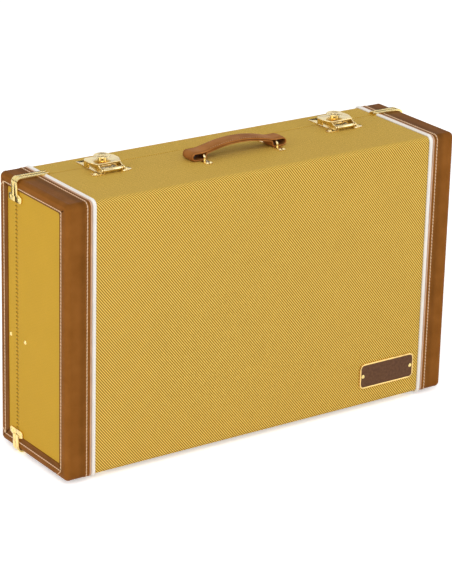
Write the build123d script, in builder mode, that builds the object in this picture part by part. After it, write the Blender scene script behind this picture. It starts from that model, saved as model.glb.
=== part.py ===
"""Pedal case: two covered plywood shells, hinged along the bottom, with draw latches and a flat handle.

The case stands on its hinge side. X runs along its length, -Y is the face of the deep shell, +Z is up.
The origin is on the ground, under the middle of the case. All sizes are in millimetres.
"""
import os

from build123d import *

# ---------------------------------------------------------------- case, over the end bands
case_length = 640.0
case_height = 390.0
case_depth = 175.0
lid_depth = 45.0              # from the seam to the back face; the deep shell has the rest
seam_gap = 0.6                # between the two rims
ground_clearance = 6.0        # from the ground to the underside of the end bands
long_edge_radius = 8.0        # edges along X
end_edge_radius = 5.0         # edges round both ends

# ---------------------------------------------------------------- plywood and covering
wall_thickness = 8.0
face_board_thickness = 6.0
band_thickness = 2.0          # leathercloth with its folded edge and glue
tweed_thickness = 0.8
band_width = 38.0
border_front = 19.0           # leathercloth left showing round the tweed of an end face
border_back = 23.0
border_top = 15.0
border_bottom = 22.0
border_corner_radius = 3.0
piping_setback = 42.5         # piping centre from the end of the case
piping_width = 5.6
piping_height = 3.0           # above the tweed
piping_run_corner = 2.6       # of the notch a strap leaves for the piping

# ---------------------------------------------------------------- inside
lining_thickness = 2.0
carpet_thickness = 3.0
foam_thickness = 12.0
foam_edge_radius = 4.0
valance_thickness = 4.0
valance_seat = 20.0           # depth inside the deep shell
valance_reach = 7.0           # how far it stands into the lid
valance_clearance = 0.4
lining_clearance = 2.0        # from the valance's edge to the lid's lining

# ---------------------------------------------------------------- seam edge straps
strap_width = 7.0
strap_height = 2.6            # above the band
strap_reach = 50.0            # from the end of the case to the pointed tip
strap_point = 7.0
strap_drop = 31.0             # how far the side plate comes down the end face
strap_plate_thickness = 1.2
strap_plate_width = 16.0
strap_plate_corner = 4.0
strap_lap = 8.0               # leg over the plate
strap_neck_drop = 19.5        # how far the leg comes down before the plate widens
strap_flare = 3.0             # fall of the plate's upper edge
strap_rivet_offset = 10.5     # from the seam
strap_rivet_drop = 26.0

# ---------------------------------------------------------------- rivets and screws
rivet_radius = 3.0
rivet_height = 1.6
screw_radius = 2.4
screw_height = 1.0
screw_slot = 0.7

# ---------------------------------------------------------------- hinges
hinge_axis_height = 3.2
hinge_spacing = 200.0
hinge_count = 3
hinge_length = 60.0
leaf_width = 16.0
leaf_thickness = 1.2
knuckle_radius = 2.6
knuckle_count = 5
knuckle_gap = 0.4
hinge_pin_radius = 1.2
pin_clearance = 0.06
leaf_screw_spacing = 22.0

# ---------------------------------------------------------------- feet
foot_radius = 10.0
foot_flat_radius = 6.5
foot_shoulder_radius = 9.0
foot_shoulder_height = 2.9
foot_end_setback = 65.0       # foot centre from the end of the case
body_foot_setback = 26.0      # foot centre from the front face
lid_foot_setback = 14.5       # foot centre from the back face, under the lid's centre of mass

# ---------------------------------------------------------------- draw latches
latch_end_setback = 126.0     # middle of a latch from the end of the case
latch_plate_thickness = 1.4
latch_plate_half_width = 20.0
latch_plate_front = 33.0      # from the seam
latch_plate_back = 1.5
tab_offset = 24.5
tab_setback = 35.5
tab_radius = 6.5
tab_arm_width = 12.0
ear_inner = 13.2
ear_thickness = 1.5
pivot_setback = 38.5          # lever pivot from the seam
pivot_height = 4.9            # above the tweed
pivot_pin_radius = 1.6
roller_radius = 2.8
roller_side_gap = 0.3
cheek_radius = 3.2
cheek_inner = 16.5
cheek_thickness = 1.5
cheek_back = 4.0
cover_top = 12.6
cover_thickness = 1.8
cover_front = 31.0
cover_front_half_width = 18.0
cover_half_width = 24.0
cover_shoulder_front = 17.0
cover_shoulder_back = 5.0
cover_back_overhang = 2.0     # past the seam
cover_back_half_width = 19.0
cover_wall_bottom = 4.0
lock_setback = 13.0
lock_housing_height = 5.6
lock_rim_radius = 12.0
lock_foot_radius = 7.6
lock_neck_radius = 6.4
lock_neck_height = 1.0        # these heights are above the cover
lock_throat_radius = 8.0
lock_throat_height = 3.0
lock_rim_bevel = 0.8
lock_floor_height = 0.6
lock_cylinder_radius = 4.8
lock_cylinder_clearance = 0.08
lock_cylinder_proud = 0.3
keyway_width = 1.4
keyway_length = 6.0
keyway_depth = 2.4
hook_pin_radius = 1.2
hook_pin_setback = 22.0
hook_pin_height = 6.2
hook_barrel_radius = 2.4
hook_half_width = 8.0
hook_thickness = 1.6
catch_lip_front = 2.4
catch_lip_thickness = 1.8
catch_lip_height = 3.6
catch_front = 0.8
catch_back = 24.0
catch_half_width = 19.5
catch_corner_radius = 2.5
catch_screw_offset = 13.0
catch_screw_setback = 15.0
hook_clearance = 0.3          # nose over the lip
nose_gap = 1.2                # nose behind the lip

# ---------------------------------------------------------------- handle
handle_centre_y = -2.5
handle_width = 25.0
handle_thickness = 5.0        # two layers
handle_rise = 19.2            # middle of the strap above the tweed, at its crown
handle_shoulder_rise = 9.7
handle_ground_gap = 0.6
loop_outer_reach = 78.5       # from the middle of the handle to the outside of a loop
loop_wall = 2.5
loop_hollow_height = 7.2
staple_offset = 60.5
staple_wire_radius = 1.75
staple_side_gap = 0.95        # between the strap's edge and a leg
staple_clearance = 0.3
staple_bend_radius = 3.0
foot_plate_thickness = 1.2
foot_plate_width = 10.0
foot_plate_length = 17.0
foot_plate_corner = 2.4
foot_plate_heel = 2.3         # behind the leg
foot_rivet_spacing = 5.4
foot_rivet_setback = 12.0     # in front of the leg
foot_rivet_radius = 2.2

# ---------------------------------------------------------------- badge
badge_length = 96.5
badge_height = 38.0
badge_end_setback = 54.8      # from the right end of the case
badge_foot = 28.2             # above the underside of the case
badge_thickness = 2.0
badge_rim_width = 1.9
badge_rim_height = 0.6
badge_corner_radius = 5.0
badge_pin_radius = 2.8
badge_pin_inset = 5.6

# ---------------------------------------------------------------- lid stays
stay_height = 165.0           # stay rivets above the underside of the case
stay_body_setback = 21.3      # from the seam
stay_lid_setback = 17.0
stay_leg = 140.0
stay_width = 14.0
stay_thickness = 1.0
stay_clearance = 0.4
stay_shank_radius = 1.2

# ---------------------------------------------------------------- worked out
half_length = case_length / 2
front_y = -case_depth / 2
back_y = case_depth / 2
seam_y = back_y - lid_depth
body_rim = seam_y - seam_gap / 2
lid_rim = seam_y + seam_gap / 2
case_bottom = ground_clearance
case_top = case_bottom + case_height
case_middle = (case_bottom + case_top) / 2
tweed_inset = band_thickness - tweed_thickness
tweed_top = case_top - tweed_inset
tweed_bottom = case_bottom + tweed_inset
inner_inset = band_thickness + wall_thickness
inner_half_length = half_length - inner_inset
inner_top = case_top - inner_inset
inner_bottom = case_bottom + inner_inset
body_floor = front_y + band_thickness + face_board_thickness
lid_floor = back_y - band_thickness - face_board_thickness
far = 2 * case_length         # larger than the case, for cutting

os.makedirs("parts", exist_ok=True)


def keep(builder, name):
    """Label a finished piece and write its STEP file."""
    builder.part.label = name
    export_step(builder.part, f"parts/{name}.step")


def block(low, high, mode=Mode.ADD):
    """Box between two opposite corners, in the part being built."""
    centre = tuple((a + b) / 2 for a, b in zip(low, high))
    with Locations(centre):
        Box(*[b - a for a, b in zip(low, high)], mode=mode)


# ================================================================ the two shells
def shell_form(is_lid, inset):
    """Outer form of a shell, drawn in by inset on every outside face and left square at the rim."""
    near, far_side = (lid_rim, back_y - inset) if is_lid else (front_y + inset, body_rim)
    with BuildPart() as form:
        block(
            (-half_length + inset, near, case_bottom + inset),
            (half_length - inset, far_side, case_top - inset),
        )
        outer_row = -1 if is_lid else 0
        fillet(form.edges().filter_by(Axis.X).group_by(Axis.Y)[outer_row], long_edge_radius - inset)
        ends = form.faces().sort_by(Axis.X)
        rim = lid_rim if is_lid else body_rim
        round_ends = [e for f in (ends[0], ends[-1]) for e in f.edges() if abs(e.center().Y - rim) > 0.01]
        fillet(round_ends, end_edge_radius - inset)
    return form.part


def shell_skin(is_lid, outer, inner):
    """Layer of a shell between two insets, open at the rim."""
    with BuildPart() as skin:
        add(shell_form(is_lid, outer))
        add(shell_form(is_lid, inner), mode=Mode.SUBTRACT)
    return skin.part


def shell_span(is_lid):
    """Lowest and highest Y of a shell, past its face and exactly to its rim."""
    return (lid_rim, back_y + far) if is_lid else (front_y - far, body_rim)


def make_boards(shell, is_lid):
    """Plywood walls and face board; the walls run past the face board to carry the rounded edges."""
    wood = shell_form(is_lid, band_thickness)
    y_low, y_high = shell_span(is_lid)
    panels = {
        "left_wall": ((-far, y_low, -far), (-inner_half_length, y_high, far)),
        "right_wall": ((inner_half_length, y_low, -far), (far, y_high, far)),
        "top_wall": ((-inner_half_length, y_low, inner_top), (inner_half_length, y_high, far)),
        "bottom_wall": ((-inner_half_length, y_low, -far), (inner_half_length, y_high, inner_bottom)),
    }
    for panel, (low, high) in panels.items():
        with BuildPart() as wall:
            add(wood)
            block(low, high, Mode.INTERSECT)
        keep(wall, f"{shell}_{panel}")

    face_name = "back_board" if is_lid else "front_board"
    y_face = (lid_floor, back_y - band_thickness) if is_lid else (front_y + band_thickness, body_floor)
    with BuildPart() as board:
        block(
            (-inner_half_length, y_face[0], inner_bottom),
            (inner_half_length, y_face[1], inner_top),
        )
    keep(board, f"{shell}_{face_name}")


def make_tweed_cover(shell, is_lid):
    """Cloth over the face, the top and the bottom, between the two end bands."""
    reach = half_length - band_width
    with BuildPart() as cover:
        add(shell_skin(is_lid, tweed_inset, band_thickness))
        block((-reach, -far, -far), (reach, far, far), Mode.INTERSECT)
    keep(cover, f"{shell}_tweed_cover")


def end_window(is_lid):
    """Y and Z limits of the tweed panel on an end face."""
    y_window = (lid_rim, back_y - border_back) if is_lid else (front_y + border_front, body_rim)
    return y_window, (case_bottom + border_bottom, case_top - border_top)


def window_sketch(is_lid, rim_overrun):
    """Outline of the end panel, in its plane's own Y and Z, with rounded corners away from the rim."""
    (y0, y1), (z0, z1) = end_window(is_lid)
    y_far, y_near = (y1, y0 - rim_overrun) if is_lid else (y0, y1 + rim_overrun)
    with BuildSketch() as outline:
        with Locations(((y_far + y_near) / 2, (z0 + z1) / 2)):
            Rectangle(abs(y_far - y_near), z1 - z0)
        outer_corners = outline.vertices().group_by(Axis.X)[-1 if is_lid else 0]
        fillet(outer_corners, border_corner_radius)
    return outline.sketch


def end_band(is_lid, sign):
    """Leathercloth over one end, with a window for the tweed panel on the end face."""
    inner_x = sign * (half_length - band_width)
    with BuildPart() as band:
        add(shell_skin(is_lid, 0, band_thickness))
        block(
            (min(inner_x, sign * far), -far, -far),
            (max(inner_x, sign * far), far, far),
            Mode.INTERSECT,
        )
        with BuildSketch(Plane.YZ.offset(sign * half_length)):
            add(window_sketch(is_lid, seam_gap))
        extrude(amount=-sign * band_thickness, mode=Mode.SUBTRACT)
    return band


def make_end_bands(shell, is_lid):
    """Leathercloth bands on the left and right ends."""
    for side, sign in (("left", -1), ("right", 1)):
        keep(end_band(is_lid, sign), f"{shell}_{side}_end_band")


def make_end_panels(shell, is_lid):
    """Tweed panels let into the two end faces."""
    with BuildPart() as panels:
        for sign in (-1, 1):
            with BuildSketch(Plane.YZ.offset(sign * (half_length - band_thickness))):
                add(window_sketch(is_lid, 0))
            extrude(amount=sign * tweed_thickness)
    keep(panels, f"{shell}_end_panels")


def make_pipings(shell, is_lid):
    """White bead round the case beside each end band, seated on the tweed."""
    face_y = back_y - tweed_inset if is_lid else front_y + tweed_inset
    rim = lid_rim if is_lid else body_rim
    run = 1 if is_lid else -1
    for side, sign in (("left", -1), ("right", 1)):
        x = sign * (half_length - piping_setback)
        corners = [
            (x, rim, tweed_top), (x, face_y, tweed_top), (x, face_y, tweed_bottom), (x, rim, tweed_bottom),
        ]
        start = Plane(origin=corners[0], x_dir=(-run, 0, 0), z_dir=(0, run, 0))
        with BuildPart() as piping:
            with BuildLine() as path:
                FilletPolyline(*corners, radius=long_edge_radius - tweed_inset)
            with BuildSketch(start):
                Ellipse(piping_width / 2, piping_height)
                Rectangle(
                    piping_width, piping_height,
                    align=(Align.CENTER, Align.MIN), mode=Mode.INTERSECT,
                )
            sweep(path=path.wire())
        keep(piping, f"{shell}_{side}_piping")


# ================================================================ inside
def frame_solid(inset, thickness, y_low, y_high):
    """Rectangular ring that follows the inside of the walls."""
    half_x = inner_half_length - inset
    z_low, z_high = inner_bottom + inset, inner_top - inset
    with BuildPart() as ring:
        block((-half_x, y_low, z_low), (half_x, y_high, z_high))
        block(
            (-half_x + thickness, y_low, z_low + thickness),
            (half_x - thickness, y_high, z_high - thickness),
            Mode.SUBTRACT,
        )
    return ring.part


def make_valance():
    """Wooden strip inside the deep shell's rim; its lip stands into the lid and lines the halves up."""
    with BuildPart() as valance:
        add(frame_solid(0, valance_thickness, seam_y - valance_seat, body_rim))
        add(frame_solid(
            valance_clearance, valance_thickness - valance_clearance, body_rim, seam_y + valance_reach,
        ))
    keep(valance, "body_valance")


def make_linings():
    """Plush on the walls of both shells, loop carpet on the deep floor, foam in the lid."""
    with BuildPart() as body_lining:
        add(frame_solid(0, lining_thickness, body_floor, seam_y - valance_seat))
    keep(body_lining, "body_wall_lining")

    lined_x = inner_half_length - lining_thickness
    lined_bottom, lined_top = inner_bottom + lining_thickness, inner_top - lining_thickness
    with BuildPart() as carpet:
        block((-lined_x, body_floor, lined_bottom), (lined_x, body_floor + carpet_thickness, lined_top))
    keep(carpet, "body_floor_carpet")

    lining_start = seam_y + valance_reach + lining_clearance
    with BuildPart() as lid_lining:
        add(frame_solid(0, lining_thickness, lining_start, lid_floor))
    keep(lid_lining, "lid_wall_lining")

    with BuildPart() as foam:
        block((-lined_x, lid_floor - foam_thickness, lined_bottom), (lined_x, lid_floor, lined_top))
        fillet(foam.edges().group_by(Axis.Y)[0], foam_edge_radius)
    keep(foam, "lid_foam_pad")


def make_stays():
    """Tape stays, folded once and hanging against the end walls while the case is shut."""
    rivet_z = case_bottom + stay_height
    span = stay_body_setback + stay_lid_setback
    fold_y = seam_y + (stay_lid_setback - stay_body_setback) / 2
    fold_z = rivet_z - (stay_leg**2 - (span / 2) ** 2) ** 0.5
    outer_x = inner_half_length - valance_thickness - stay_clearance
    for side, sign in (("left", -1), ("right", 1)):
        with BuildPart() as tape:
            for rivet_y, layer in ((seam_y - stay_body_setback, 0), (seam_y + stay_lid_setback, 1)):
                x = sign * (outer_x - layer * stay_thickness)
                with BuildSketch(Plane.YZ.offset(x)) as leg:
                    with BuildLine():
                        Line((rivet_y, rivet_z), (fold_y, fold_z))
                    trace(line_width=stay_width)
                    with Locations((rivet_y, rivet_z), (fold_y, fold_z)):
                        Circle(stay_width / 2)
                extrude(amount=-sign * stay_thickness)
        keep(tape, f"stay_tape_{side}")


# ================================================================ fastenings
def dome(plane, radius, height):
    """Low rivet head: a spherical cap that sits on the plane."""
    ball = (radius**2 + height**2) / (2 * height)
    with BuildPart() as head:
        with BuildSketch(Plane.XZ):
            with BuildLine():
                Line((0, 0), (radius, 0))
                RadiusArc((radius, 0), (0, height), -ball)
                Line((0, height), (0, 0))
            make_face()
        revolve(axis=Axis.Z)
    return plane.from_local_coords(head.part)


def slotted_screw(plane):
    """Raised screw head with a driver slot."""
    with BuildPart() as head:
        add(dome(Plane.XY, screw_radius, screw_height))
        block(
            (-screw_radius, -screw_slot / 2, screw_height / 2),
            (screw_radius, screw_slot / 2, screw_height * 2),
            Mode.SUBTRACT,
        )
    return plane.from_local_coords(head.part)


def end_plane(sign, y, z, lift=0.0):
    """Plane on an end face, its normal pointing out of the case."""
    return Plane(origin=(sign * (half_length + lift), y, z), x_dir=(0, 1, 0), z_dir=(sign, 0, 0))


def top_plane(x, y, lift=0.0):
    """Plane on the top cloth."""
    return Plane(origin=(x, y, tweed_top + lift), x_dir=(1, 0, 0), z_dir=(0, 0, 1))


def bottom_plane(x, y, lift=0.0):
    """Plane on the bottom cloth, its normal pointing to the ground."""
    return Plane(origin=(x, y, tweed_bottom - lift), x_dir=(1, 0, 0), z_dir=(0, 0, -1))


def make_edge_straps(shell, is_lid):
    """Bars over the seam corners: a pointed strip on top, bent down the end face to a riveted plate."""
    inward = 1 if is_lid else -1
    rim = lid_rim if is_lid else body_rim
    bar_edge = rim + inward * strap_width
    plate_edge = rim + inward * strap_plate_width
    bar_tip = rim + inward * strap_width / 2
    tip_x = -half_length + strap_reach
    end_x = -half_length - strap_height
    leg_bottom = case_top - strap_drop
    neck_z = case_top - strap_neck_drop
    with BuildPart() as straps:
        add(shell_skin(is_lid, -strap_height, 0))
        block(
            (-far, min(rim, bar_edge), leg_bottom + strap_lap),
            (-half_length + band_width, max(rim, bar_edge), far),
            Mode.INTERSECT,
        )
        with BuildSketch(Plane.XY.offset(tweed_top)):
            with BuildLine():
                Polyline(
                    (-half_length + band_width, rim),
                    (tip_x - strap_point, rim),
                    (tip_x, bar_tip),
                    (tip_x - strap_point, bar_edge),
                    (-half_length + band_width, bar_edge),
                    close=True,
                )
            make_face()
        extrude(amount=tweed_inset + strap_height)
        add(piping_run(), mode=Mode.SUBTRACT)
        with BuildSketch(Plane.YZ.offset(-half_length - strap_plate_thickness)) as plate:
            with BuildLine():
                Polyline(
                    (rim, neck_z), (bar_edge, neck_z), (plate_edge, neck_z - strap_flare),
                    (plate_edge, leg_bottom), (rim, leg_bottom),
                    close=True,
                )
            make_face()
            low_corners = plate.vertices().group_by(Axis.Y)[0]
            outer_low = low_corners.sort_by(Axis.X)[-1 if is_lid else 0]
            fillet(outer_low, strap_plate_corner)
        extrude(amount=strap_plate_thickness + tweed_inset)
        mirror(about=Plane.XY.offset(case_middle))
        mirror(about=Plane.YZ)
        for sign in (-1, 1):
            add(end_band(is_lid, sign).part, mode=Mode.SUBTRACT)
    keep(straps, f"{shell}_edge_straps")


def piping_run():
    """Square bar that clears the top piping where a strap crosses it."""
    x = -half_length + piping_setback
    with BuildPart() as run:
        block(
            (x - piping_width / 2, -case_depth, tweed_top),
            (x + piping_width / 2, case_depth, tweed_top + piping_height),
        )
        top_edges = run.edges().filter_by(Axis.Y).group_by(Axis.Z)[-1]
        fillet(top_edges, piping_run_corner)
    return run.part


def make_end_rivets(shell, is_lid):
    """Rivets of the edge straps and of the lid stays, on both end faces."""
    inward = 1 if is_lid else -1
    strap_y = seam_y + inward * strap_rivet_offset
    stay_y = seam_y + (stay_lid_setback if is_lid else -stay_body_setback)
    stay_z = case_bottom + stay_height
    tape_outer_x = inner_half_length - valance_thickness - stay_clearance - (stay_thickness if is_lid else 0)
    tape_inner_x = tape_outer_x - stay_thickness
    lining_x = inner_half_length - lining_thickness
    with BuildPart() as rivets:
        for sign in (-1, 1):
            for z in (case_top - strap_rivet_drop, case_bottom + strap_rivet_drop):
                add(dome(end_plane(sign, strap_y, z, strap_plate_thickness), rivet_radius, rivet_height))
            add(dome(end_plane(sign, stay_y, stay_z, -tweed_inset), rivet_radius, rivet_height))
            inner = Plane(origin=(sign * tape_inner_x, stay_y, stay_z), x_dir=(0, 1, 0), z_dir=(-sign, 0, 0))
            add(dome(inner, rivet_radius, rivet_height))
            shank_x = sign * (lining_x + tape_outer_x) / 2
            with Locations(Location((shank_x, stay_y, stay_z), (0, 90, 0))):
                Cylinder(stay_shank_radius, lining_x - tape_outer_x)
    keep(rivets, f"{shell}_end_rivets")


# ================================================================ hinges and feet
def knuckle_spans(of_lid):
    """X spans, from the hinge's middle, of the knuckles that belong to one leaf."""
    pitch = hinge_length / knuckle_count
    first = 1 if of_lid else 0
    for i in range(first, knuckle_count, 2):
        start = -hinge_length / 2 + i * pitch
        yield start + knuckle_gap / 2, start + pitch - knuckle_gap / 2


def hinge_places():
    """X of the middle of each hinge."""
    return [(i - (hinge_count - 1) / 2) * hinge_spacing for i in range(hinge_count)]


def make_hinge_leaves(shell, is_lid):
    """Butt hinge leaves under the case, with their knuckles round the pin."""
    rim = lid_rim if is_lid else body_rim
    inward = 1 if is_lid else -1
    y_low, y_high = sorted((rim, rim + inward * leaf_width))
    neck_low, neck_high = sorted((rim, seam_y + inward * knuckle_radius))
    with BuildPart() as leaves:
        for x in hinge_places():
            block(
                (x - hinge_length / 2, y_low, tweed_bottom - leaf_thickness),
                (x + hinge_length / 2, y_high, tweed_bottom),
            )
            for start, end in knuckle_spans(is_lid):
                block((x + start, neck_low, hinge_axis_height), (x + end, neck_high, tweed_bottom))
                with Locations(Location((x + (start + end) / 2, seam_y, hinge_axis_height), (0, 90, 0))):
                    Cylinder(knuckle_radius, end - start)
            with Locations(Location((x, seam_y, hinge_axis_height), (0, 90, 0))):
                Cylinder(hinge_pin_radius + pin_clearance, hinge_length, mode=Mode.SUBTRACT)
    keep(leaves, f"{shell}_hinge_leaves")


def make_hinge_pins():
    """Steel pins through the hinge knuckles."""
    with BuildPart() as pins:
        for x in hinge_places():
            with Locations(Location((x, seam_y, hinge_axis_height), (0, 90, 0))):
                Cylinder(hinge_pin_radius, hinge_length)
    keep(pins, "hinge_pins")


def make_hinge_screws(shell, is_lid):
    """Two screws in each leaf."""
    inward = 1 if is_lid else -1
    y = seam_y + inward * (leaf_width + knuckle_radius) / 2
    with BuildPart() as screws:
        for x in hinge_places():
            for step in (-1, 1):
                add(slotted_screw(bottom_plane(x + step * leaf_screw_spacing, y, leaf_thickness)))
    keep(screws, f"{shell}_hinge_screws")


def make_feet(shell, is_lid):
    """Two domed glides under each shell, flat where they meet the ground."""
    y = back_y - lid_foot_setback if is_lid else front_y + body_foot_setback
    with BuildPart() as feet:
        for sign in (-1, 1):
            plane = Plane(origin=(sign * (half_length - foot_end_setback), y, 0))
            with BuildPart(mode=Mode.PRIVATE) as foot:
                with BuildSketch(Plane.XZ):
                    with BuildLine():
                        Line((0, 0), (foot_flat_radius, 0))
                        ThreePointArc(
                            (foot_flat_radius, 0),
                            (foot_shoulder_radius, foot_shoulder_height),
                            (foot_radius, tweed_bottom),
                        )
                        Line((foot_radius, tweed_bottom), (0, tweed_bottom))
                        Line((0, tweed_bottom), (0, 0))
                    make_face()
                revolve(axis=Axis.Z)
            add(plane.from_local_coords(foot.part))
    keep(feet, f"{shell}_feet")


# ================================================================ draw latches
def latch_places():
    """Name and middle X of each latch."""
    x = half_length - latch_end_setback
    return (("left", -x), ("right", x))


def latch_point(setback, height):
    """Y and Z of a point given by its distance in front of the seam and above the cloth."""
    return seam_y - setback, tweed_top + height


def cross_cylinder(x, setback, height, radius, half_width, mode=Mode.ADD):
    """Cylinder along X, centred on the latch."""
    y, z = latch_point(setback, height)
    with Locations(Location((x, y, z), (0, 90, 0))):
        Cylinder(radius, 2 * half_width, mode=mode)


def make_latch_base(side, x):
    """Base plate with two riveted tabs and two ears for the pivot pin."""
    pivot_y, pivot_z = latch_point(pivot_setback, pivot_height)
    with BuildPart() as base:
        with BuildSketch(Plane.XY.offset(tweed_top)):
            with Locations((x, seam_y - (latch_plate_front + latch_plate_back) / 2)):
                Rectangle(2 * latch_plate_half_width, latch_plate_front - latch_plate_back)
            with Locations(*[(x + s * tab_offset, seam_y - tab_setback) for s in (-1, 1)]):
                Circle(tab_radius)
            arm = tab_offset - ear_inner
            arm_centre = (tab_offset + ear_inner) / 2
            with Locations(*[(x + s * arm_centre, seam_y - tab_setback) for s in (-1, 1)]):
                Rectangle(arm, tab_arm_width)
        extrude(amount=latch_plate_thickness)
        for s in (-1, 1):
            with BuildSketch(Plane.YZ.offset(x + s * ear_inner)):
                with Locations((pivot_y, pivot_z)):
                    Circle(cheek_radius)
                with Locations((pivot_y, tweed_top + pivot_height / 2)):
                    Rectangle(2 * cheek_radius, pivot_height)
            extrude(amount=s * ear_thickness)
        cross_cylinder(
            x, pivot_setback, pivot_height, pivot_pin_radius + pin_clearance, case_depth, Mode.SUBTRACT,
        )
    keep(base, f"latch_{side}_base")


def make_latch_roller(side, x):
    """Pivot pin with the roller that fills the space between the ears."""
    with BuildPart() as roller:
        cross_cylinder(x, pivot_setback, pivot_height, pivot_pin_radius, cheek_inner + cheek_thickness)
        cross_cylinder(x, pivot_setback, pivot_height, roller_radius, ear_inner - roller_side_gap)
    return roller


def lever_side(x, setback_points, sign, inner, thickness):
    """Upright plate of the lever, given by its side outline."""
    with BuildPart() as plate:
        with BuildSketch(Plane.YZ.offset(x + sign * inner)):
            with BuildLine():
                Polyline(*[latch_point(*p) for p in setback_points], close=True)
            make_face()
        extrude(amount=sign * thickness)
    return plate.part


def lock_housing(x):
    """Flared cup on the lever that holds the lock cylinder."""
    foot = cover_top
    rim = cover_top + lock_housing_height
    inner = lock_cylinder_radius + lock_cylinder_clearance
    with BuildPart() as housing:
        with BuildSketch(Plane.XZ):
            with BuildLine():
                Line((0, foot), (lock_foot_radius, foot))
                Line((lock_foot_radius, foot), (lock_neck_radius, foot + lock_neck_height))
                ThreePointArc(
                    (lock_neck_radius, foot + lock_neck_height),
                    (lock_throat_radius, foot + lock_throat_height),
                    (lock_rim_radius, rim - lock_rim_bevel),
                )
                Line((lock_rim_radius, rim - lock_rim_bevel), (lock_rim_radius - lock_rim_bevel, rim))
                Line((lock_rim_radius - lock_rim_bevel, rim), (inner, rim - lock_rim_bevel))
                Line((inner, rim - lock_rim_bevel), (inner, foot + lock_floor_height))
                Line((inner, foot + lock_floor_height), (0, foot + lock_floor_height))
                Line((0, foot + lock_floor_height), (0, foot))
            make_face()
        revolve(axis=Axis.Z)
    return top_plane(x, seam_y - lock_setback).from_local_coords(housing.part)


def make_latch_lever(side, x):
    """Pressed lever: cover plate, two pivot cheeks, two rear walls, hook pin and lock housing."""
    cheek_low = pivot_height - cheek_radius
    with BuildPart() as lever:
        with BuildSketch(Plane.XY.offset(tweed_top + cover_top - cover_thickness)):
            with BuildLine():
                half = [
                    (cover_front_half_width, cover_front),
                    (cover_half_width, cover_shoulder_front),
                    (cover_half_width, cover_shoulder_back),
                    (cover_back_half_width, -cover_back_overhang),
                ]
                outline = [(x + w, seam_y - d) for w, d in half]
                outline += [(x - w, seam_y - d) for w, d in reversed(half)]
                Polyline(*outline, close=True)
            make_face()
        extrude(amount=cover_thickness)
        fillet(lever.edges().group_by(Axis.Z)[-1], cover_thickness / 2)
        cover_low = cover_top - cover_thickness
        for s in (-1, 1):
            cheek = [
                (cover_front, cover_low), (pivot_setback + cheek_radius, pivot_height),
                (pivot_setback, cheek_low), (cheek_back, cover_wall_bottom), (cheek_back, cover_low),
            ]
            add(lever_side(x, cheek, s, cheek_inner, cheek_thickness))
            wall = [
                (cover_shoulder_front, cover_low), (cover_shoulder_front, cover_wall_bottom),
                (cover_shoulder_back, cover_wall_bottom), (cover_shoulder_back, cover_low),
            ]
            add(lever_side(x, wall, s, cover_half_width - cheek_thickness, cheek_thickness))
            side_centre = x + s * (cheek_inner + cheek_thickness / 2)
            cross_cylinder(side_centre, pivot_setback, pivot_height, cheek_radius, cheek_thickness / 2)
        cross_cylinder(
            x, pivot_setback, pivot_height, pivot_pin_radius + pin_clearance, case_depth, Mode.SUBTRACT,
        )
        cross_cylinder(x, hook_pin_setback, hook_pin_height, hook_pin_radius, cheek_inner)
        add(lock_housing(x))
    keep(lever, f"latch_{side}_lever")


def make_latch_lock(side, x):
    """Lock cylinder with its keyway, turned by the key."""
    low = tweed_top + cover_top + lock_floor_height + lock_cylinder_clearance
    high = tweed_top + cover_top + lock_housing_height - lock_rim_bevel + lock_cylinder_proud
    y = seam_y - lock_setback
    with BuildPart() as cylinder:
        with Locations((x, y, low)):
            Cylinder(lock_cylinder_radius, high - low, align=(Align.CENTER, Align.CENTER, Align.MIN))
        block(
            (x - keyway_width / 2, y - keyway_length / 2, high - keyway_depth),
            (x + keyway_width / 2, y + keyway_length / 2, high + 1),
            Mode.SUBTRACT,
        )
    keep(cylinder, f"latch_{side}_lock_cylinder")


def make_latch_hook(side, x):
    """Hook on the lever's pin; its nose hangs just behind and above the catch's lip."""
    low, high = hook_pin_height - hook_thickness / 2, hook_pin_height + hook_thickness / 2
    nose_start = catch_lip_front + catch_lip_thickness + nose_gap
    nose_low = catch_lip_height + hook_clearance
    with BuildPart() as hook:
        cross_cylinder(x, hook_pin_setback, hook_pin_height, hook_barrel_radius, hook_half_width)
        profile = [
            (hook_pin_setback, low), (-nose_start, low), (-nose_start, nose_low),
            (-nose_start - hook_thickness, nose_low), (-nose_start - hook_thickness, high),
            (hook_pin_setback, high),
        ]
        with BuildSketch(Plane.YZ.offset(x)):
            with BuildLine():
                Polyline(*[latch_point(*p) for p in profile], close=True)
            make_face()
        extrude(amount=hook_half_width, both=True)
        cross_cylinder(
            x, hook_pin_setback, hook_pin_height, hook_pin_radius + pin_clearance, case_depth, Mode.SUBTRACT,
        )
    keep(hook, f"latch_{side}_hook")


def make_latch_catch(side, x):
    """Catch plate on the lid, with its upturned lip."""
    with BuildPart() as catch:
        with BuildSketch(Plane.XY.offset(tweed_top)) as plate:
            with Locations((x, seam_y + (catch_front + catch_back) / 2)):
                Rectangle(2 * catch_half_width, catch_back - catch_front)
            fillet(plate.vertices(), catch_corner_radius)
        extrude(amount=latch_plate_thickness)
        lip_front = seam_y + catch_lip_front
        block(
            (x - hook_half_width, lip_front, tweed_top),
            (x + hook_half_width, lip_front + catch_lip_thickness, tweed_top + catch_lip_height),
        )
    keep(catch, f"latch_{side}_catch")


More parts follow.
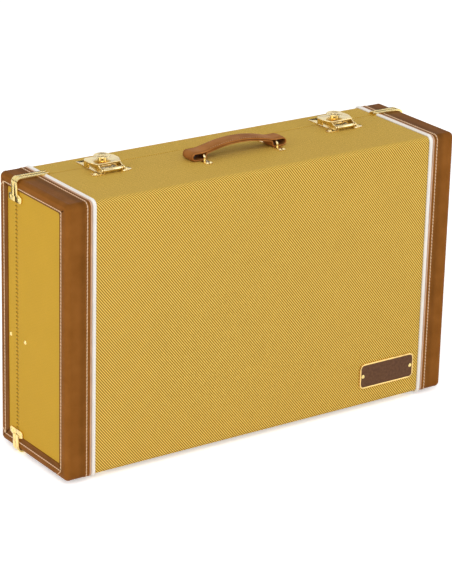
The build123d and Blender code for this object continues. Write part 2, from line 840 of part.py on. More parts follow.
def make_latches():
    """Both draw latches with their rollers, rivets and catch screws."""
    rollers = []
    for side, x in latch_places():
        make_latch_base(side, x)
        rollers.append(make_latch_roller(side, x).part)
        make_latch_lever(side, x)
        make_latch_lock(side, x)
        make_latch_hook(side, x)
        make_latch_catch(side, x)
    with BuildPart() as pair:
        add(rollers)
    keep(pair, "latch_rollers")

    with BuildPart() as rivets:
        for _, x in latch_places():
            for s in (-1, 1):
                seat = top_plane(x + s * tab_offset, seam_y - tab_setback, latch_plate_thickness)
                add(dome(seat, rivet_radius, rivet_height))
    keep(rivets, "latch_rivets")

    with BuildPart() as screws:
        for _, x in latch_places():
            for s in (-1, 1):
                screw_y = seam_y + catch_screw_setback
                add(slotted_screw(top_plane(x + s * catch_screw_offset, screw_y, latch_plate_thickness)))
    keep(screws, "catch_screws")


# ================================================================ handle
staple_bar_height = (
    handle_ground_gap + loop_wall + loop_hollow_height - staple_clearance - staple_wire_radius
)
staple_leg_y = handle_width / 2 + staple_side_gap + staple_wire_radius


def make_handle_strap():
    """Flat leather strap: a low arch with an elongated loop folded back under each end."""
    loop_height = loop_hollow_height + 2 * loop_wall
    loop_z = tweed_top + handle_ground_gap + loop_height / 2
    outer_centre = loop_outer_reach - loop_height / 2
    inner_centre = staple_offset
    crown = tweed_top + handle_rise
    shoulder = tweed_top + handle_shoulder_rise
    with BuildPart() as strap:
        with BuildSketch(Plane.XZ.offset(-handle_centre_y)):
            with BuildLine():
                ThreePointArc((-inner_centre, shoulder), (0, crown), (inner_centre, shoulder))
            trace(line_width=handle_thickness)
            for s in (-1, 1):
                with Locations((s * (outer_centre + inner_centre) / 2, loop_z)):
                    SlotCenterToCenter(outer_centre - inner_centre, loop_height)
            for s in (-1, 1):
                with Locations((s * (outer_centre + inner_centre) / 2, loop_z)):
                    SlotCenterToCenter(outer_centre - inner_centre, loop_hollow_height, mode=Mode.SUBTRACT)
        extrude(amount=handle_width / 2, both=True)
    keep(strap, "handle_strap")


def make_handle_staple(side, x):
    """Wire staple through a loop: two legs on the case and a bar across the strap."""
    bar_z = tweed_top + staple_bar_height
    corners = [
        (x, handle_centre_y - staple_leg_y, tweed_top),
        (x, handle_centre_y - staple_leg_y, bar_z),
        (x, handle_centre_y + staple_leg_y, bar_z),
        (x, handle_centre_y + staple_leg_y, tweed_top),
    ]
    with BuildPart() as staple:
        with BuildLine() as path:
            FilletPolyline(*corners, radius=staple_bend_radius)
        with BuildSketch(Plane(origin=corners[0], x_dir=(1, 0, 0), z_dir=(0, 0, 1))):
            Circle(staple_wire_radius)
        sweep(path=path.wire())
    keep(staple, f"handle_staple_{side}")


def make_foot_plates():
    """Small plates that hold the staple legs down, and the rivets through them."""
    with BuildPart() as plates:
        for x in (-staple_offset, staple_offset):
            for s in (-1, 1):
                leg_y = handle_centre_y + s * staple_leg_y
                centre_y = leg_y + s * (foot_plate_length / 2 - foot_plate_heel)
                with BuildSketch(Plane.XY.offset(tweed_top)):
                    with Locations((x, centre_y)):
                        RectangleRounded(foot_plate_width, foot_plate_length, foot_plate_corner)
                    with Locations((x, leg_y)):
                        Circle(staple_wire_radius + pin_clearance, mode=Mode.SUBTRACT)
                extrude(amount=foot_plate_thickness)
    keep(plates, "handle_foot_plates")

    with BuildPart() as rivets:
        for x in (-staple_offset, staple_offset):
            for s in (-1, 1):
                y = handle_centre_y + s * (staple_leg_y + foot_rivet_setback - foot_plate_heel / 2)
                for step in (-1, 1):
                    seat = top_plane(x + step * foot_rivet_spacing / 2, y, foot_plate_thickness)
                    add(dome(seat, foot_rivet_radius, rivet_height))
    keep(rivets, "handle_rivets")


def make_handle():
    """Strap, staples, foot plates and rivets."""
    make_handle_strap()
    make_handle_staple("left", -staple_offset)
    make_handle_staple("right", staple_offset)
    make_foot_plates()


# ================================================================ badge
def make_badge():
    """Bare name plate with a raised rim, held by two pins."""
    x = half_length - badge_end_setback - badge_length / 2
    z = case_bottom + badge_foot + badge_height / 2
    face = Plane(origin=(x, front_y + tweed_inset, z), x_dir=(1, 0, 0), z_dir=(0, -1, 0))
    with BuildPart() as plate:
        with BuildSketch(face):
            RectangleRounded(badge_length, badge_height, badge_corner_radius)
        extrude(amount=badge_thickness)
        with BuildSketch(face.offset(badge_thickness)):
            RectangleRounded(badge_length, badge_height, badge_corner_radius)
            RectangleRounded(
                badge_length - 2 * badge_rim_width, badge_height - 2 * badge_rim_width,
                badge_corner_radius - badge_rim_width, mode=Mode.SUBTRACT,
            )
        extrude(amount=badge_rim_height)
    keep(plate, "badge_plate")

    with BuildPart() as pins:
        for s in (-1, 1):
            pin_x = x + s * (badge_length / 2 - badge_pin_inset)
            plate_y = front_y + tweed_inset - badge_thickness
            seat = Plane(origin=(pin_x, plate_y, z), x_dir=(1, 0, 0), z_dir=(0, -1, 0))
            add(dome(seat, badge_pin_radius, rivet_height / 2))
    keep(pins, "badge_pins")


# ================================================================ build
for shell_name, shell_is_lid in (("body", False), ("lid", True)):
    make_boards(shell_name, shell_is_lid)
    make_tweed_cover(shell_name, shell_is_lid)
    make_end_bands(shell_name, shell_is_lid)
    make_end_panels(shell_name, shell_is_lid)
    make_pipings(shell_name, shell_is_lid)
    make_edge_straps(shell_name, shell_is_lid)
    make_end_rivets(shell_name, shell_is_lid)
    make_hinge_leaves(shell_name, shell_is_lid)
    make_hinge_screws(shell_name, shell_is_lid)
    make_feet(shell_name, shell_is_lid)
make_valance()
make_linings()
make_stays()
make_hinge_pins()
make_latches()
make_handle()
make_badge()
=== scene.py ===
"""Looks of a tweed pedal case: cloth, leathercloth ends, piping, stitching, gilt hardware, handle, lining."""

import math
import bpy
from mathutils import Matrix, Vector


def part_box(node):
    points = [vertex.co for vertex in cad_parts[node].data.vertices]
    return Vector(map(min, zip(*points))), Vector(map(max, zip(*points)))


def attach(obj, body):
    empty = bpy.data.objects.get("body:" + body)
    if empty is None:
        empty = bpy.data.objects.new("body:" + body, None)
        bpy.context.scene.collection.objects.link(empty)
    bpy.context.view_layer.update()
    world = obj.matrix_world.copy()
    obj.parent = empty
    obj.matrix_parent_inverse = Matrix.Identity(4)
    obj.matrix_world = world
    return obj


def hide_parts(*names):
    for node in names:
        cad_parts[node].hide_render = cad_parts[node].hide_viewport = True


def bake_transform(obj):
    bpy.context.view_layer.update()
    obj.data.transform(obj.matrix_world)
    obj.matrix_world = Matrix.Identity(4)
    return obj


bl_info = {
    "name": "Tweed Pedal Case",
    "version": (1, 0, 0),
    "blender": (4, 5, 0),
    "location": "View3D > Sidebar > Pedal Case",
    "description": "Covers, binds, lines and lights a hinged plywood pedal case",
    "category": "Object",
}

import bpy
import numpy as np
from bpy.props import FloatProperty, FloatVectorProperty, PointerProperty
from mathutils import Matrix, Vector

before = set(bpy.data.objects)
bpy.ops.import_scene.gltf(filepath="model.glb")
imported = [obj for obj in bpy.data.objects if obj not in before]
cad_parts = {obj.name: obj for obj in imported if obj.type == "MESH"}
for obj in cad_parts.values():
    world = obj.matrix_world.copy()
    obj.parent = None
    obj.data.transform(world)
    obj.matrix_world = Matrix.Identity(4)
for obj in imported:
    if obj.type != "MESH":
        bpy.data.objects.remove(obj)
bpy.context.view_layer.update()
MM = 0.001
SHELLS = ("body", "lid")
SIDES = (("left", -1), ("right", 1))


# ---------------------------------------------------------------- sizes read from the frame
def shell_sizes(shell):
    """Outer faces, rim and window of one shell, in metres.
    The face is the large side; the rims meet at the seam."""
    band_low, band_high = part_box(f"{shell}_left_end_band")
    _, cloth_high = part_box(f"{shell}_tweed_cover")
    panel_low, panel_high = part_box(f"{shell}_end_panels")
    is_lid = shell == "lid"
    return {
        "end": -band_low.x,
        "band_edge": -band_high.x,
        "rim": band_low.y if is_lid else band_high.y,
        "face": band_high.y if is_lid else band_low.y,
        "out": 1 if is_lid else -1,
        "top": band_high.z,
        "bottom": band_low.z,
        "cloth_inset": band_high.z - cloth_high.z,
        "panel_x": panel_high.x,
        "window_far": panel_high.y if is_lid else panel_low.y,
        "window_top": panel_high.z,
        "window_bottom": panel_low.z,
        "stitch_far": END_STITCH["back" if is_lid else "front"],
    }


LONG_EDGE = 8 * MM       # radius of the case's long edges
END_EDGE = 7.5 * MM      # radius round the ends
RIM_EASE = 0.7 * MM      # softened edge where a covering ends at the rim
BAND_EASE = 1.2 * MM     # the same for the thicker leathercloth
BEAD_EASE = 0.8 * MM     # the same for the piping and the welt
CLOTH_THICKNESS = 0.8 * MM
BAND_THICKNESS = 2.0 * MM
WALL_THICKNESS = 8.0 * MM
WINDOW_CORNER = 3 * MM
SEAM_LOOP = 5.6 * MM     # pitch of the sewn dimples along the seam, coarser than real ones so that they show
SEAM_DIMPLE = 1.7 * MM
SEAM_LIP = 0.25 * MM     # how far the cloth bulges past the rim between the dimples
STITCH_SETBACK = 31.5 * MM
STITCH_DEPTH = 0.15 * MM # middle of the thread below the leathercloth's face
END_STITCH = {"front": 14.4 * MM, "back": 13.0 * MM, "top": 11.8 * MM, "bottom": 12.8 * MM}
GROOVE_DEPTH = 0.45 * MM # dip under a row of stitches
GROOVE_WIDTH = 0.9 * MM
PLEAT_DEPTH = 1.15 * MM  # folds gathered into the end windows' corners
PLEAT_PITCH = 3.3 * MM
PLEAT_REACH = 4.5 * MM
SIZES = {shell: shell_sizes(shell) for shell in SHELLS}


# ---------------------------------------------------------------- lines
def bell(distance, width):
    """exp(-(d/w)^2)."""
    return np.exp(-((distance / width) ** 2))


def rounded_line(corners, radii, arc_steps=14):
    """Line through corners with the inner ones rounded: straight runs and arcs, both turned smoothly.
    On an arc a point is centre + (sin((1-t)a) start + sin(ta) end) / sin(a),
    and its heading turns the same way."""
    corners = np.asarray(corners, float)
    points, headings = [corners[:1]], []
    share = np.linspace(0, 1, arc_steps + 1)[:, None]
    for before, corner, after, radius in zip(corners, corners[1:], corners[2:], radii):
        into = (corner - before) / np.linalg.norm(corner - before)
        away = (after - corner) / np.linalg.norm(after - corner)
        turn = math.acos(np.clip(into @ away, -1, 1))
        centre = corner + (away - into) / np.linalg.norm(away - into) * radius / math.cos(turn / 2)
        reach = radius * math.tan(turn / 2)
        first = np.sin((1 - share) * turn) / math.sin(turn)
        last = np.sin(share * turn) / math.sin(turn)
        arms = (corner - into * reach - centre, corner + away * reach - centre)
        points.append(centre + first * arms[0] + last * arms[1])
        if not headings:
            headings.append(into[None])
        headings.append(first * into + last * away)
    points.append(corners[-1:])
    headings.append(headings[-1][-1:])
    return np.concatenate(points), np.concatenate(headings)


def lengths(points):
    """Distance of each point along its line."""
    return np.concatenate([[0], np.cumsum(np.linalg.norm(np.diff(points, axis=0), axis=1))])


def sampled(line, at):
    """Distances, points and unit headings of a line at distances along it."""
    along = lengths(line[0])
    place, heading = (np.stack([np.interp(at, along, column) for column in part.T], 1) for part in line)
    return at, place, heading / np.linalg.norm(heading, axis=1, keepdims=True)


def refined(line, step, near_ends=()):
    """The line with no gap over step. near_ends adds rows close to both ends."""
    along = lengths(line[0])
    gaps = np.linalg.norm(np.diff(line[0], axis=0), axis=1)
    marks = np.concatenate([[0], np.cumsum(np.maximum(1, np.ceil(gaps / step)))])
    fine = np.interp(np.arange(marks[-1] + 1), marks, along)
    extra = np.asarray(near_ends, float)
    return sampled(line, np.unique(np.concatenate([fine, extra, along[-1] - extra]).round(7)))


def spaced(line, pitch, margin=2 * MM):
    """Places at an even pitch along the line, clear of its ends."""
    length = lengths(line[0])[-1]
    count = max(2, int((length - 2 * margin) / pitch) + 1)
    return sampled(line, (length - (count - 1) * pitch) / 2 + pitch * np.arange(count))


def section_line(shell, arc_steps=14):
    """Outside of a shell in (y, z): rim, top, rounded edge, face, rounded edge, bottom, rim."""
    size = SIZES[shell]
    route = (("rim", "top"), ("face", "top"), ("face", "bottom"), ("rim", "bottom"))
    corners = [(size[y], size[z]) for y, z in route]
    return rounded_line(corners, (LONG_EDGE, LONG_EDGE), arc_steps)


def section_normals(shell, heading):
    """Normals of a shell's section, which point out of the case."""
    return SIZES[shell]["out"] * np.stack([-heading[:, 1], heading[:, 0]], 1)


def section_rows(shell, step, arc_steps=14):
    """Rows along a shell's section: distance, (y, z), outward normal and distance from the nearer rim."""
    near = RIM_EASE * np.array([0.03, 0.12, 0.3, 0.6, 1.0])
    along, place, heading = refined(section_line(shell, arc_steps), step, near)
    return along, place, section_normals(shell, heading), np.minimum(along, along[-1] - along)


def raised(x, place, outward, rise):
    """Grid of points (x, p + n rise): a shell's section p raised along its normals n
    and carried across the case."""
    points = np.empty((*rise.shape, 3))
    points[..., 0] = x
    points[..., 1:] = place[:, None] + outward[:, None] * rise[..., None]
    return points


def rim_drop(distance, ease=RIM_EASE):
    """Quarter-circle easing at a rim: ease (1 - sqrt(1 - (1 - d/ease)^2)) within ease of it,
    otherwise nothing."""
    share = 1 - np.clip(distance / ease, 0, 1)
    return ease * (1 - np.sqrt(1 - share**2))


# ---------------------------------------------------------------- meshes
def grid_faces(rows, columns, close_rows=False, close_columns=False):
    """Corner numbers of the quads of a rows x columns grid of points, closed on itself where asked."""
    i = np.arange(rows if close_rows else rows - 1)[:, None]
    j = np.arange(columns if close_columns else columns - 1)[None, :]
    below, beside = (i + 1) % rows, (j + 1) % columns
    corners = [i * columns + j, below * columns + j, below * columns + beside, i * columns + beside]
    return np.stack([np.broadcast_to(c, (len(i), j.size)) for c in corners], -1).reshape(-1, 4)


def patch(points, uv=None, close_rows=False, close_columns=False, flip=False, caps=False, tone=None):
    """Grid of points (rows, columns, 3) as a patch: points, quads, UV in metres and tone.
    Caps close a tube's ends."""
    rows, columns = points.shape[:2]
    faces = grid_faces(rows, columns, close_rows, close_columns)
    if caps:
        j = np.arange(columns // 2 - 1 + columns % 2)
        ring = np.stack([j, j + 1, (columns - 2 - j), (columns - 1 - j)], -1)
        last = ring + (rows - 1) * columns
        faces = np.concatenate([faces, ring, last[:, ::-1]])
    if flip:
        faces = faces[:, ::-1]
    uv = np.broadcast_to(np.zeros(2) if uv is None else uv, (rows, columns, 2))
    tone = np.broadcast_to(0.0 if tone is None else tone, (rows, columns))
    return points.reshape(-1, 3), faces, uv.reshape(-1, 2), tone.reshape(-1)


def added(name, data):
    """New object at the origin, in the scene."""
    made = bpy.data.objects.new(name, data)
    bpy.context.scene.collection.objects.link(made)
    return made


def piece(name, patches, material, body=None, replaces=(), sharp=40):
    """Joins patches into one mesh object at the origin that rides on a body and may stand for CAD nodes."""
    starts = np.cumsum([0] + [len(p[0]) for p in patches[:-1]])
    points, uv, tone = (np.concatenate([p[i] for p in patches]).astype(np.float32) for i in (0, 2, 3))
    quads = np.concatenate([p[1] + start for p, start in zip(patches, starts)]).astype(np.int32)
    mesh = bpy.data.meshes.new(name)
    mesh.vertices.add(len(points))
    mesh.vertices.foreach_set("co", points.ravel())
    mesh.loops.add(quads.size)
    mesh.loops.foreach_set("vertex_index", quads.ravel())
    mesh.polygons.add(len(quads))
    mesh.polygons.foreach_set("loop_start", np.arange(0, quads.size, 4, dtype=np.int32))
    mesh.uv_layers.new(name="cut").data.foreach_set("uv", uv[quads.ravel()].ravel())
    mesh.attributes.new("tone", "FLOAT", "POINT").data.foreach_set("value", tone)
    mesh.validate()
    mesh.update()
    mesh.shade_smooth()
    mesh.set_sharp_from_angle(angle=math.radians(sharp))
    mesh.materials.append(material)
    made = added(name, mesh)
    if body:
        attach(made, body)
    if replaces:
        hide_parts(*replaces)
    return made


# ---------------------------------------------------------------- materials
def linear(hex_colour):
    """sRGB hex as linear RGBA: c / 12.92 up to 0.04045, otherwise ((c + 0.055) / 1.055) ** 2.4."""
    values = [int(hex_colour[i:i + 2], 16) / 255 for i in (0, 2, 4)]
    return [c / 12.92 if c <= 0.04045 else ((c + 0.055) / 1.055) ** 2.4 for c in values] + [1.0]


def scaled(colour, share):
    """Colour made lighter or darker by a share."""
    return [min(1.0, c * share) for c in colour[:3]] + [1.0]


def feed(tree, made, inputs):
    """Sets a node's inputs, by name or number, to a value or to the output socket that feeds them."""
    for key, value in dict(inputs).items():
        if isinstance(value, bpy.types.NodeSocket):
            tree.links.new(value, made.inputs[key])
        else:
            made.inputs[key].default_value = value


def node(tree, kind, inputs=(), **settings):
    """Adds a node with its settings and inputs."""
    made = tree.nodes.new(kind)
    for key, value in settings.items():
        setattr(made, key, value)
    feed(tree, made, inputs)
    return made


def maths(tree, operation, *values):
    """Number worked out from others."""
    return node(tree, "ShaderNodeMath", enumerate(values), operation=operation).outputs[0]


def ranged(tree, value, low, high, start=0.0, end=1.0, **settings):
    """Number carried from the range low to high over to start to end."""
    return node(tree, "ShaderNodeMapRange", enumerate((value, low, high, start, end)), **settings).outputs[0]


def noise(tree, place, scale, detail=2.0):
    """Soft noise from 0 to 1, scale spots in a metre."""
    return node(tree, "ShaderNodeTexNoise", {"Vector": place, "Scale": scale, "Detail": detail}).outputs[0]


def mixed(tree, share, first, second, **settings):
    """Colour that goes from first to second by a share."""
    inputs = {"Factor": share, "A": first, "B": second}
    return node(tree, "ShaderNodeMix", inputs, data_type="RGBA", **settings).outputs["Result"]


def mottled(tree, place, light, dark, spots_per_metre, sharpness=(0.35, 0.65)):
    """Colour that wanders between dark and light in soft noise patches."""
    return mixed(tree, ranged(tree, noise(tree, place, spots_per_metre, 4.0), *sharpness), dark, light)


def toned(tree, colour, share):
    """Colour multiplied by a number from a socket, 1 leaving it as it is."""
    return mixed(tree, 1.0, colour, share, blend_type="MULTIPLY")


def tone_of(tree):
    """The tone that a piece's points carry: painted shade above 0, in folds, grooves, dimples and hollows,
    and painted light below 0.
    """
    return node(tree, "ShaderNodeAttribute", attribute_name="tone").outputs["Fac"]


def bump(tree, height, strength, distance):
    """Bump of a height from 0 to 1 over a distance in metres."""
    inputs = {"Strength": strength, "Distance": distance, "Height": height}
    return node(tree, "ShaderNodeBump", inputs).outputs[0]


def new_material(name):
    """New material and its node tree."""
    made = bpy.data.materials.new(name)
    made.use_nodes = True
    return made, made.node_tree


def own_place(tree):
    """The piece's own place, in metres, where a pattern is read."""
    return node(tree, "ShaderNodeTexCoord").outputs["Object"]


def cut_place(tree):
    """Place in a cloth's flat cut, in metres."""
    return node(tree, "ShaderNodeUVMap", uv_map="cut").outputs[0]


def finished(made, inputs):
    """The material, once its Principled shader has its inputs."""
    feed(made.node_tree, made.node_tree.nodes["Principled BSDF"], inputs)
    return made


def tweed_material(name, settings, light, dark, relief):
    """Cotton twill, woven in two yarns and lacquered: slanting ribs, a thread step along each rib and a
    thin glaze. A rib is 2.87 mm across, about twice a real one's, so that it shows at this size."""
    made, tree = new_material(name)
    place = cut_place(tree)
    size = (settings.rib_pitch, settings.thread_pitch, 1.0)
    turned = node(
        tree, "ShaderNodeMapping", {"Vector": place, "Rotation": (0, 0, settings.rib_angle), "Scale": size},
        vector_type="TEXTURE",
    ).outputs[0]
    across, down, _ = node(tree, "ShaderNodeSeparateXYZ", {0: turned}).outputs
    wobble = maths(tree, "SINE", maths(tree, "MULTIPLY", down, math.tau))
    shifted = maths(tree, "MULTIPLY_ADD", wobble, 0.07, across)
    wave = maths(tree, "SINE", maths(tree, "MULTIPLY", shifted, math.tau))
    rib = ranged(tree, wave, -0.75, 0.75, interpolation_type="SMOOTHSTEP")
    fibre = noise(tree, turned, 2.2)
    uneven = ranged(tree, fibre, 0.3, 0.7, 0.94, 1.05)
    glazed = ranged(tree, noise(tree, place, 22.0, 3.0), 0.3, 0.7, 0.985, 1.015)
    # Painted shade from the tone in the seam's dimples, and painted light between them for the light thread;
    # random yarn tone and glaze are multiplied in too
    sunk = ranged(tree, tone_of(tree), 0.0, 1.0, 1.0, 0.3, clamp=False)
    yarn_tone_and_painted_shade = maths(tree, "MULTIPLY", maths(tree, "MULTIPLY", uneven, glazed), sunk)
    return finished(made, {
        "Base Color": toned(tree, mixed(tree, rib, dark, light), yarn_tone_and_painted_shade),
        "Normal": bump(tree, maths(tree, "MULTIPLY_ADD", fibre, 0.35, rib), relief, 0.25 * MM),
        "Roughness": 0.6, "Specular IOR Level": 0.08,
    })


def leathercloth_material(name, light, dark, grain=1100.0):
    """Coated cloth embossed with a fine leather grain: satin and even in colour.
    Its tone paints shade into folds, grooves and hollows and a highlight along rounded edges."""
    made, tree = new_material(name)
    place = own_place(tree)
    shade = ranged(tree, tone_of(tree), -1.0, 1.0, 1.45, 0.45)
    voronoi = node(tree, "ShaderNodeTexVoronoi", {"Vector": place, "Scale": grain}, feature="SMOOTH_F1")
    cells = voronoi.outputs[0]
    soft = noise(tree, place, grain / 3, 3.0)
    return finished(made, {
        "Base Color": toned(tree, mottled(tree, place, light, dark, 35.0), shade),
        "Normal": bump(tree, maths(tree, "MULTIPLY_ADD", soft, 0.6, cells), 0.22, 0.15 * MM),
        "Roughness": ranged(tree, soft, 0.3, 0.7, 0.36, 0.48), "Specular IOR Level": 0.03,
    })


def vinyl_material(name, light, dark):
    """Extruded white vinyl bead: smooth, soft gloss, faintly yellowed in patches; its tone paints shade along
    the flange and at the bead's feet.
    """
    made, tree = new_material(name)
    place = own_place(tree)
    shade = ranged(tree, tone_of(tree), 0.0, 1.0, 1.0, 0.35)
    return finished(made, {
        "Base Color": toned(tree, mottled(tree, place, light, dark, 60.0), shade),
        "Normal": bump(tree, noise(tree, place, 500.0), 0.12, 0.2 * MM), "Roughness": 0.38,
    })


def thread_material(name, light, dark):
    """Twisted polyester thread: fine slanting plies and a slight sheen."""
    made, tree = new_material(name)
    place = own_place(tree)
    plies = node(tree, "ShaderNodeTexWave", {"Vector": place, "Scale": 450.0}, bands_direction="DIAGONAL")
    return finished(made, {
        "Base Color": mottled(tree, place, light, dark, 400.0),
        "Normal": bump(tree, plies.outputs["Fac"], 0.3, 0.15 * MM), "Roughness": 0.6, "Sheen Weight": 0.2,
    })


def gilt_material(name, colour, roughness, dull=0.1):
    """Pressed steel with bright gold plating: mirror-like, soft polishing waves and faint dull smears."""
    made, tree = new_material(name)
    place = own_place(tree)
    smear = noise(tree, place, 140.0, 5.0)
    return finished(made, {
        "Base Color": mottled(tree, place, colour, scaled(colour, 0.72), 90.0, (0.3, 0.5)),
        "Normal": bump(tree, noise(tree, place, 70.0, 1.0), 0.1, 0.6 * MM),
        "Roughness": ranged(tree, smear, 0.35, 0.7, roughness, roughness + dull), "Metallic": 1.0,
    })


def wood_material(name, light, dark, across, waves=35.0):
    """Birch plywood: pale plies alternate in tone across the thickness; a long soft grain on the faces."""
    made, tree = new_material(name)
    place = own_place(tree)
    stretched = node(tree, "ShaderNodeMapping", {"Vector": place, "Scale": (3.0, 60.0, 60.0)}).outputs[0]
    grain = noise(tree, stretched, 4.0, 6.0)
    inputs = {"Vector": place, "Scale": waves, "Distortion": 0.3}
    plies = node(tree, "ShaderNodeTexWave", inputs, bands_direction=across).outputs["Fac"]
    share = ranged(tree, maths(tree, "MULTIPLY_ADD", plies, 0.5, grain), 0.4, 1.0)
    return finished(made, {
        "Base Color": mixed(tree, share, dark, light),
        "Normal": bump(tree, grain, 0.15, 0.2 * MM), "Roughness": 0.6,
    })


def pile_material(name, light, dark, tufts_per_metre, depth, sheen):
    """Pile cloth or open foam: a dark surface broken into small tufts or cells."""
    made, tree = new_material(name)
    place = own_place(tree)
    tufts = node(tree, "ShaderNodeTexVoronoi", {"Vector": place, "Scale": tufts_per_metre}).outputs[0]
    fuzz = noise(tree, place, tufts_per_metre * 1.7, 3.0)
    share = ranged(tree, tufts, 0.0, 0.7, 1.0, 0.0)
    return finished(made, {
        "Base Color": mixed(tree, share, dark, light),
        "Normal": bump(tree, maths(tree, "MULTIPLY_ADD", fuzz, 0.5, share), 0.7, depth),
        "Roughness": 0.95, "Sheen Weight": sheen, "Specular IOR Level": 0.2,
    })


def tape_material(name, light, dark):
    """Woven cotton tape: a fine plain weave of two tones in the tape's own cut."""
    made, tree = new_material(name)
    inputs = {"Vector": cut_place(tree), "Color1": light, "Color2": dark, "Scale": 900.0}
    weave = node(tree, "ShaderNodeTexChecker", inputs).outputs
    return finished(made, {
        "Base Color": weave["Color"], "Normal": bump(tree, weave["Fac"], 0.4, 0.15 * MM), "Roughness": 0.85,
    })


def enamel_material(name, light, dark):
    """Stamped plate with baked brown enamel: near matt, with an orange-peel ripple."""
    made, tree = new_material(name)
    place = own_place(tree)
    return finished(made, {
        "Base Color": mottled(tree, place, light, dark, 260.0),
        "Normal": bump(tree, noise(tree, place, 700.0), 0.2, 0.1 * MM),
        "Roughness": 0.55, "Specular IOR Level": 0.2,
    })


# ---------------------------------------------------------------- covering
def cloth_cover(shell):
    """Cloth wrapped over the face, top and bottom:
    the shell's section at the cloth's depth, carried along X."""
    size = SIZES[shell]
    along, place, outward, rim = section_rows(shell, 6 * MM)
    outer = size["cloth_inset"] + rim_drop(rim)
    inner = np.full_like(outer, size["cloth_inset"] + CLOTH_THICKNESS)
    x = size["band_edge"] * np.array([-1, 1, 1, -1])
    points = raised(x, place, outward, -np.stack([outer, outer, inner, inner], 1))
    uv = np.stack(np.broadcast_arrays(x[None, :], -size["out"] * along[:, None]), -1)
    return patch(points, uv, close_columns=True, caps=True, flip=shell == "lid")


def rim_cloth(shell):
    """Cloth turned over the plywood's rim: a mitred flat ring, a hair proud of the wood."""
    size = SIZES[shell]
    y = size["rim"] - size["out"] * 0.12 * MM
    rings = []
    for inset in (size["cloth_inset"], BAND_THICKNESS + WALL_THICKNESS):
        x, low, high = size["end"] - inset, size["bottom"] + inset, size["top"] - inset
        rings.append([(-x, y, low), (x, y, low), (x, y, high), (-x, y, high)])
    points = np.array(rings)
    return patch(points, points[..., [0, 2]], close_columns=True, flip=shell == "lid")


def end_panel(shell, sign, corner=WINDOW_CORNER):
    """Cloth let into an end face, from the rim to the window's far edge, with its far corners rounded:
    the edge falls back by r - sqrt(r^2 - d^2), d beyond the corner's centre. Along the seam the sewn edge
    draws back in dimples, w (0.5 + 0.5 cos 2 pi z / p)^1.5, with painted shade in the dimples and a
    painted lightening between them that stands for the seam's light thread."""
    size = SIZES[shell]
    low, high = size["window_bottom"], size["window_top"]
    z = np.linspace(low, high, int((high - low) / SEAM_LOOP * 8))
    beyond = np.clip(np.abs(z - (low + high) / 2) - (high - low) / 2 + corner, 0, corner)
    far = size["window_far"] - size["out"] * (corner - np.sqrt(corner**2 - beyond**2))
    dimple = SEAM_DIMPLE * (0.5 + 0.5 * np.cos(math.tau * z / SEAM_LOOP)) ** 1.5
    near = RIM_EASE * np.array([0.0, 0.12, 0.45, 1.0, 2.2, 3.4])
    sewn = size["rim"] + size["out"] * (near[None] + dimple[:, None] - SEAM_LIP)
    y = np.concatenate([sewn, far[:, None]], 1)
    y = np.concatenate([y, y[:, ::-1]], 1)
    front = np.append(rim_drop(near), 0.0)
    x = sign * (size["panel_x"] - np.concatenate([front, np.full_like(front, CLOTH_THICKNESS)]))
    points = np.stack(np.broadcast_arrays(x[None, :], y, z[:, None]), -1)
    # Painted shade in the seam's dimples, and a painted lightening between them for the light thread
    shade = np.zeros(y.shape[1])
    shade[:5] = (1.0, 1.0, 1.0, 1.0, 0.8)
    tone = shade[None] * (1.4 * dimple[:, None] / SEAM_DIMPLE - 0.4)
    flip = (sign < 0) == (shell == "body")
    return patch(points, points[..., 1:], close_columns=True, caps=True, flip=flip, tone=tone)


def hem_inset(setback, hem_edge):
    """Depth of a band below its crown, by distance from the case's end: a rounded hem edge, a stitched dip
    exp(-(d/w)^2), and a small step down where the hem's second layer ends."""
    edge = 1.0 * MM
    over = np.clip((setback - hem_edge + edge) / edge, 0, 1)
    dip = GROOVE_DEPTH * bell(setback - STITCH_SETBACK, GROOVE_WIDTH)
    step = np.clip((STITCH_SETBACK - 2 * MM - setback) / (1.5 * MM), 0, 1)
    return edge * (1 - np.sqrt(1 - over**2)) + dip + 0.22 * MM * step * step * (3 - 2 * step)


def window_distance(shell, place):
    """Distance from the stitched line on an end face, a rounded box open towards the rim:
    |max(q, 0)| + min(max q, 0) - r."""
    size = SIZES[shell]
    low, high = size["bottom"] + END_STITCH["bottom"], size["top"] - END_STITCH["top"]
    half = np.array([abs(size["face"] - size["rim"]) - size["stitch_far"], (high - low) / 2])
    q = np.abs(place - (size["rim"], (high + low) / 2)) - half + WINDOW_CORNER
    return np.linalg.norm(np.maximum(q, 0), axis=-1) + np.minimum(q.max(-1), 0) - WINDOW_CORNER


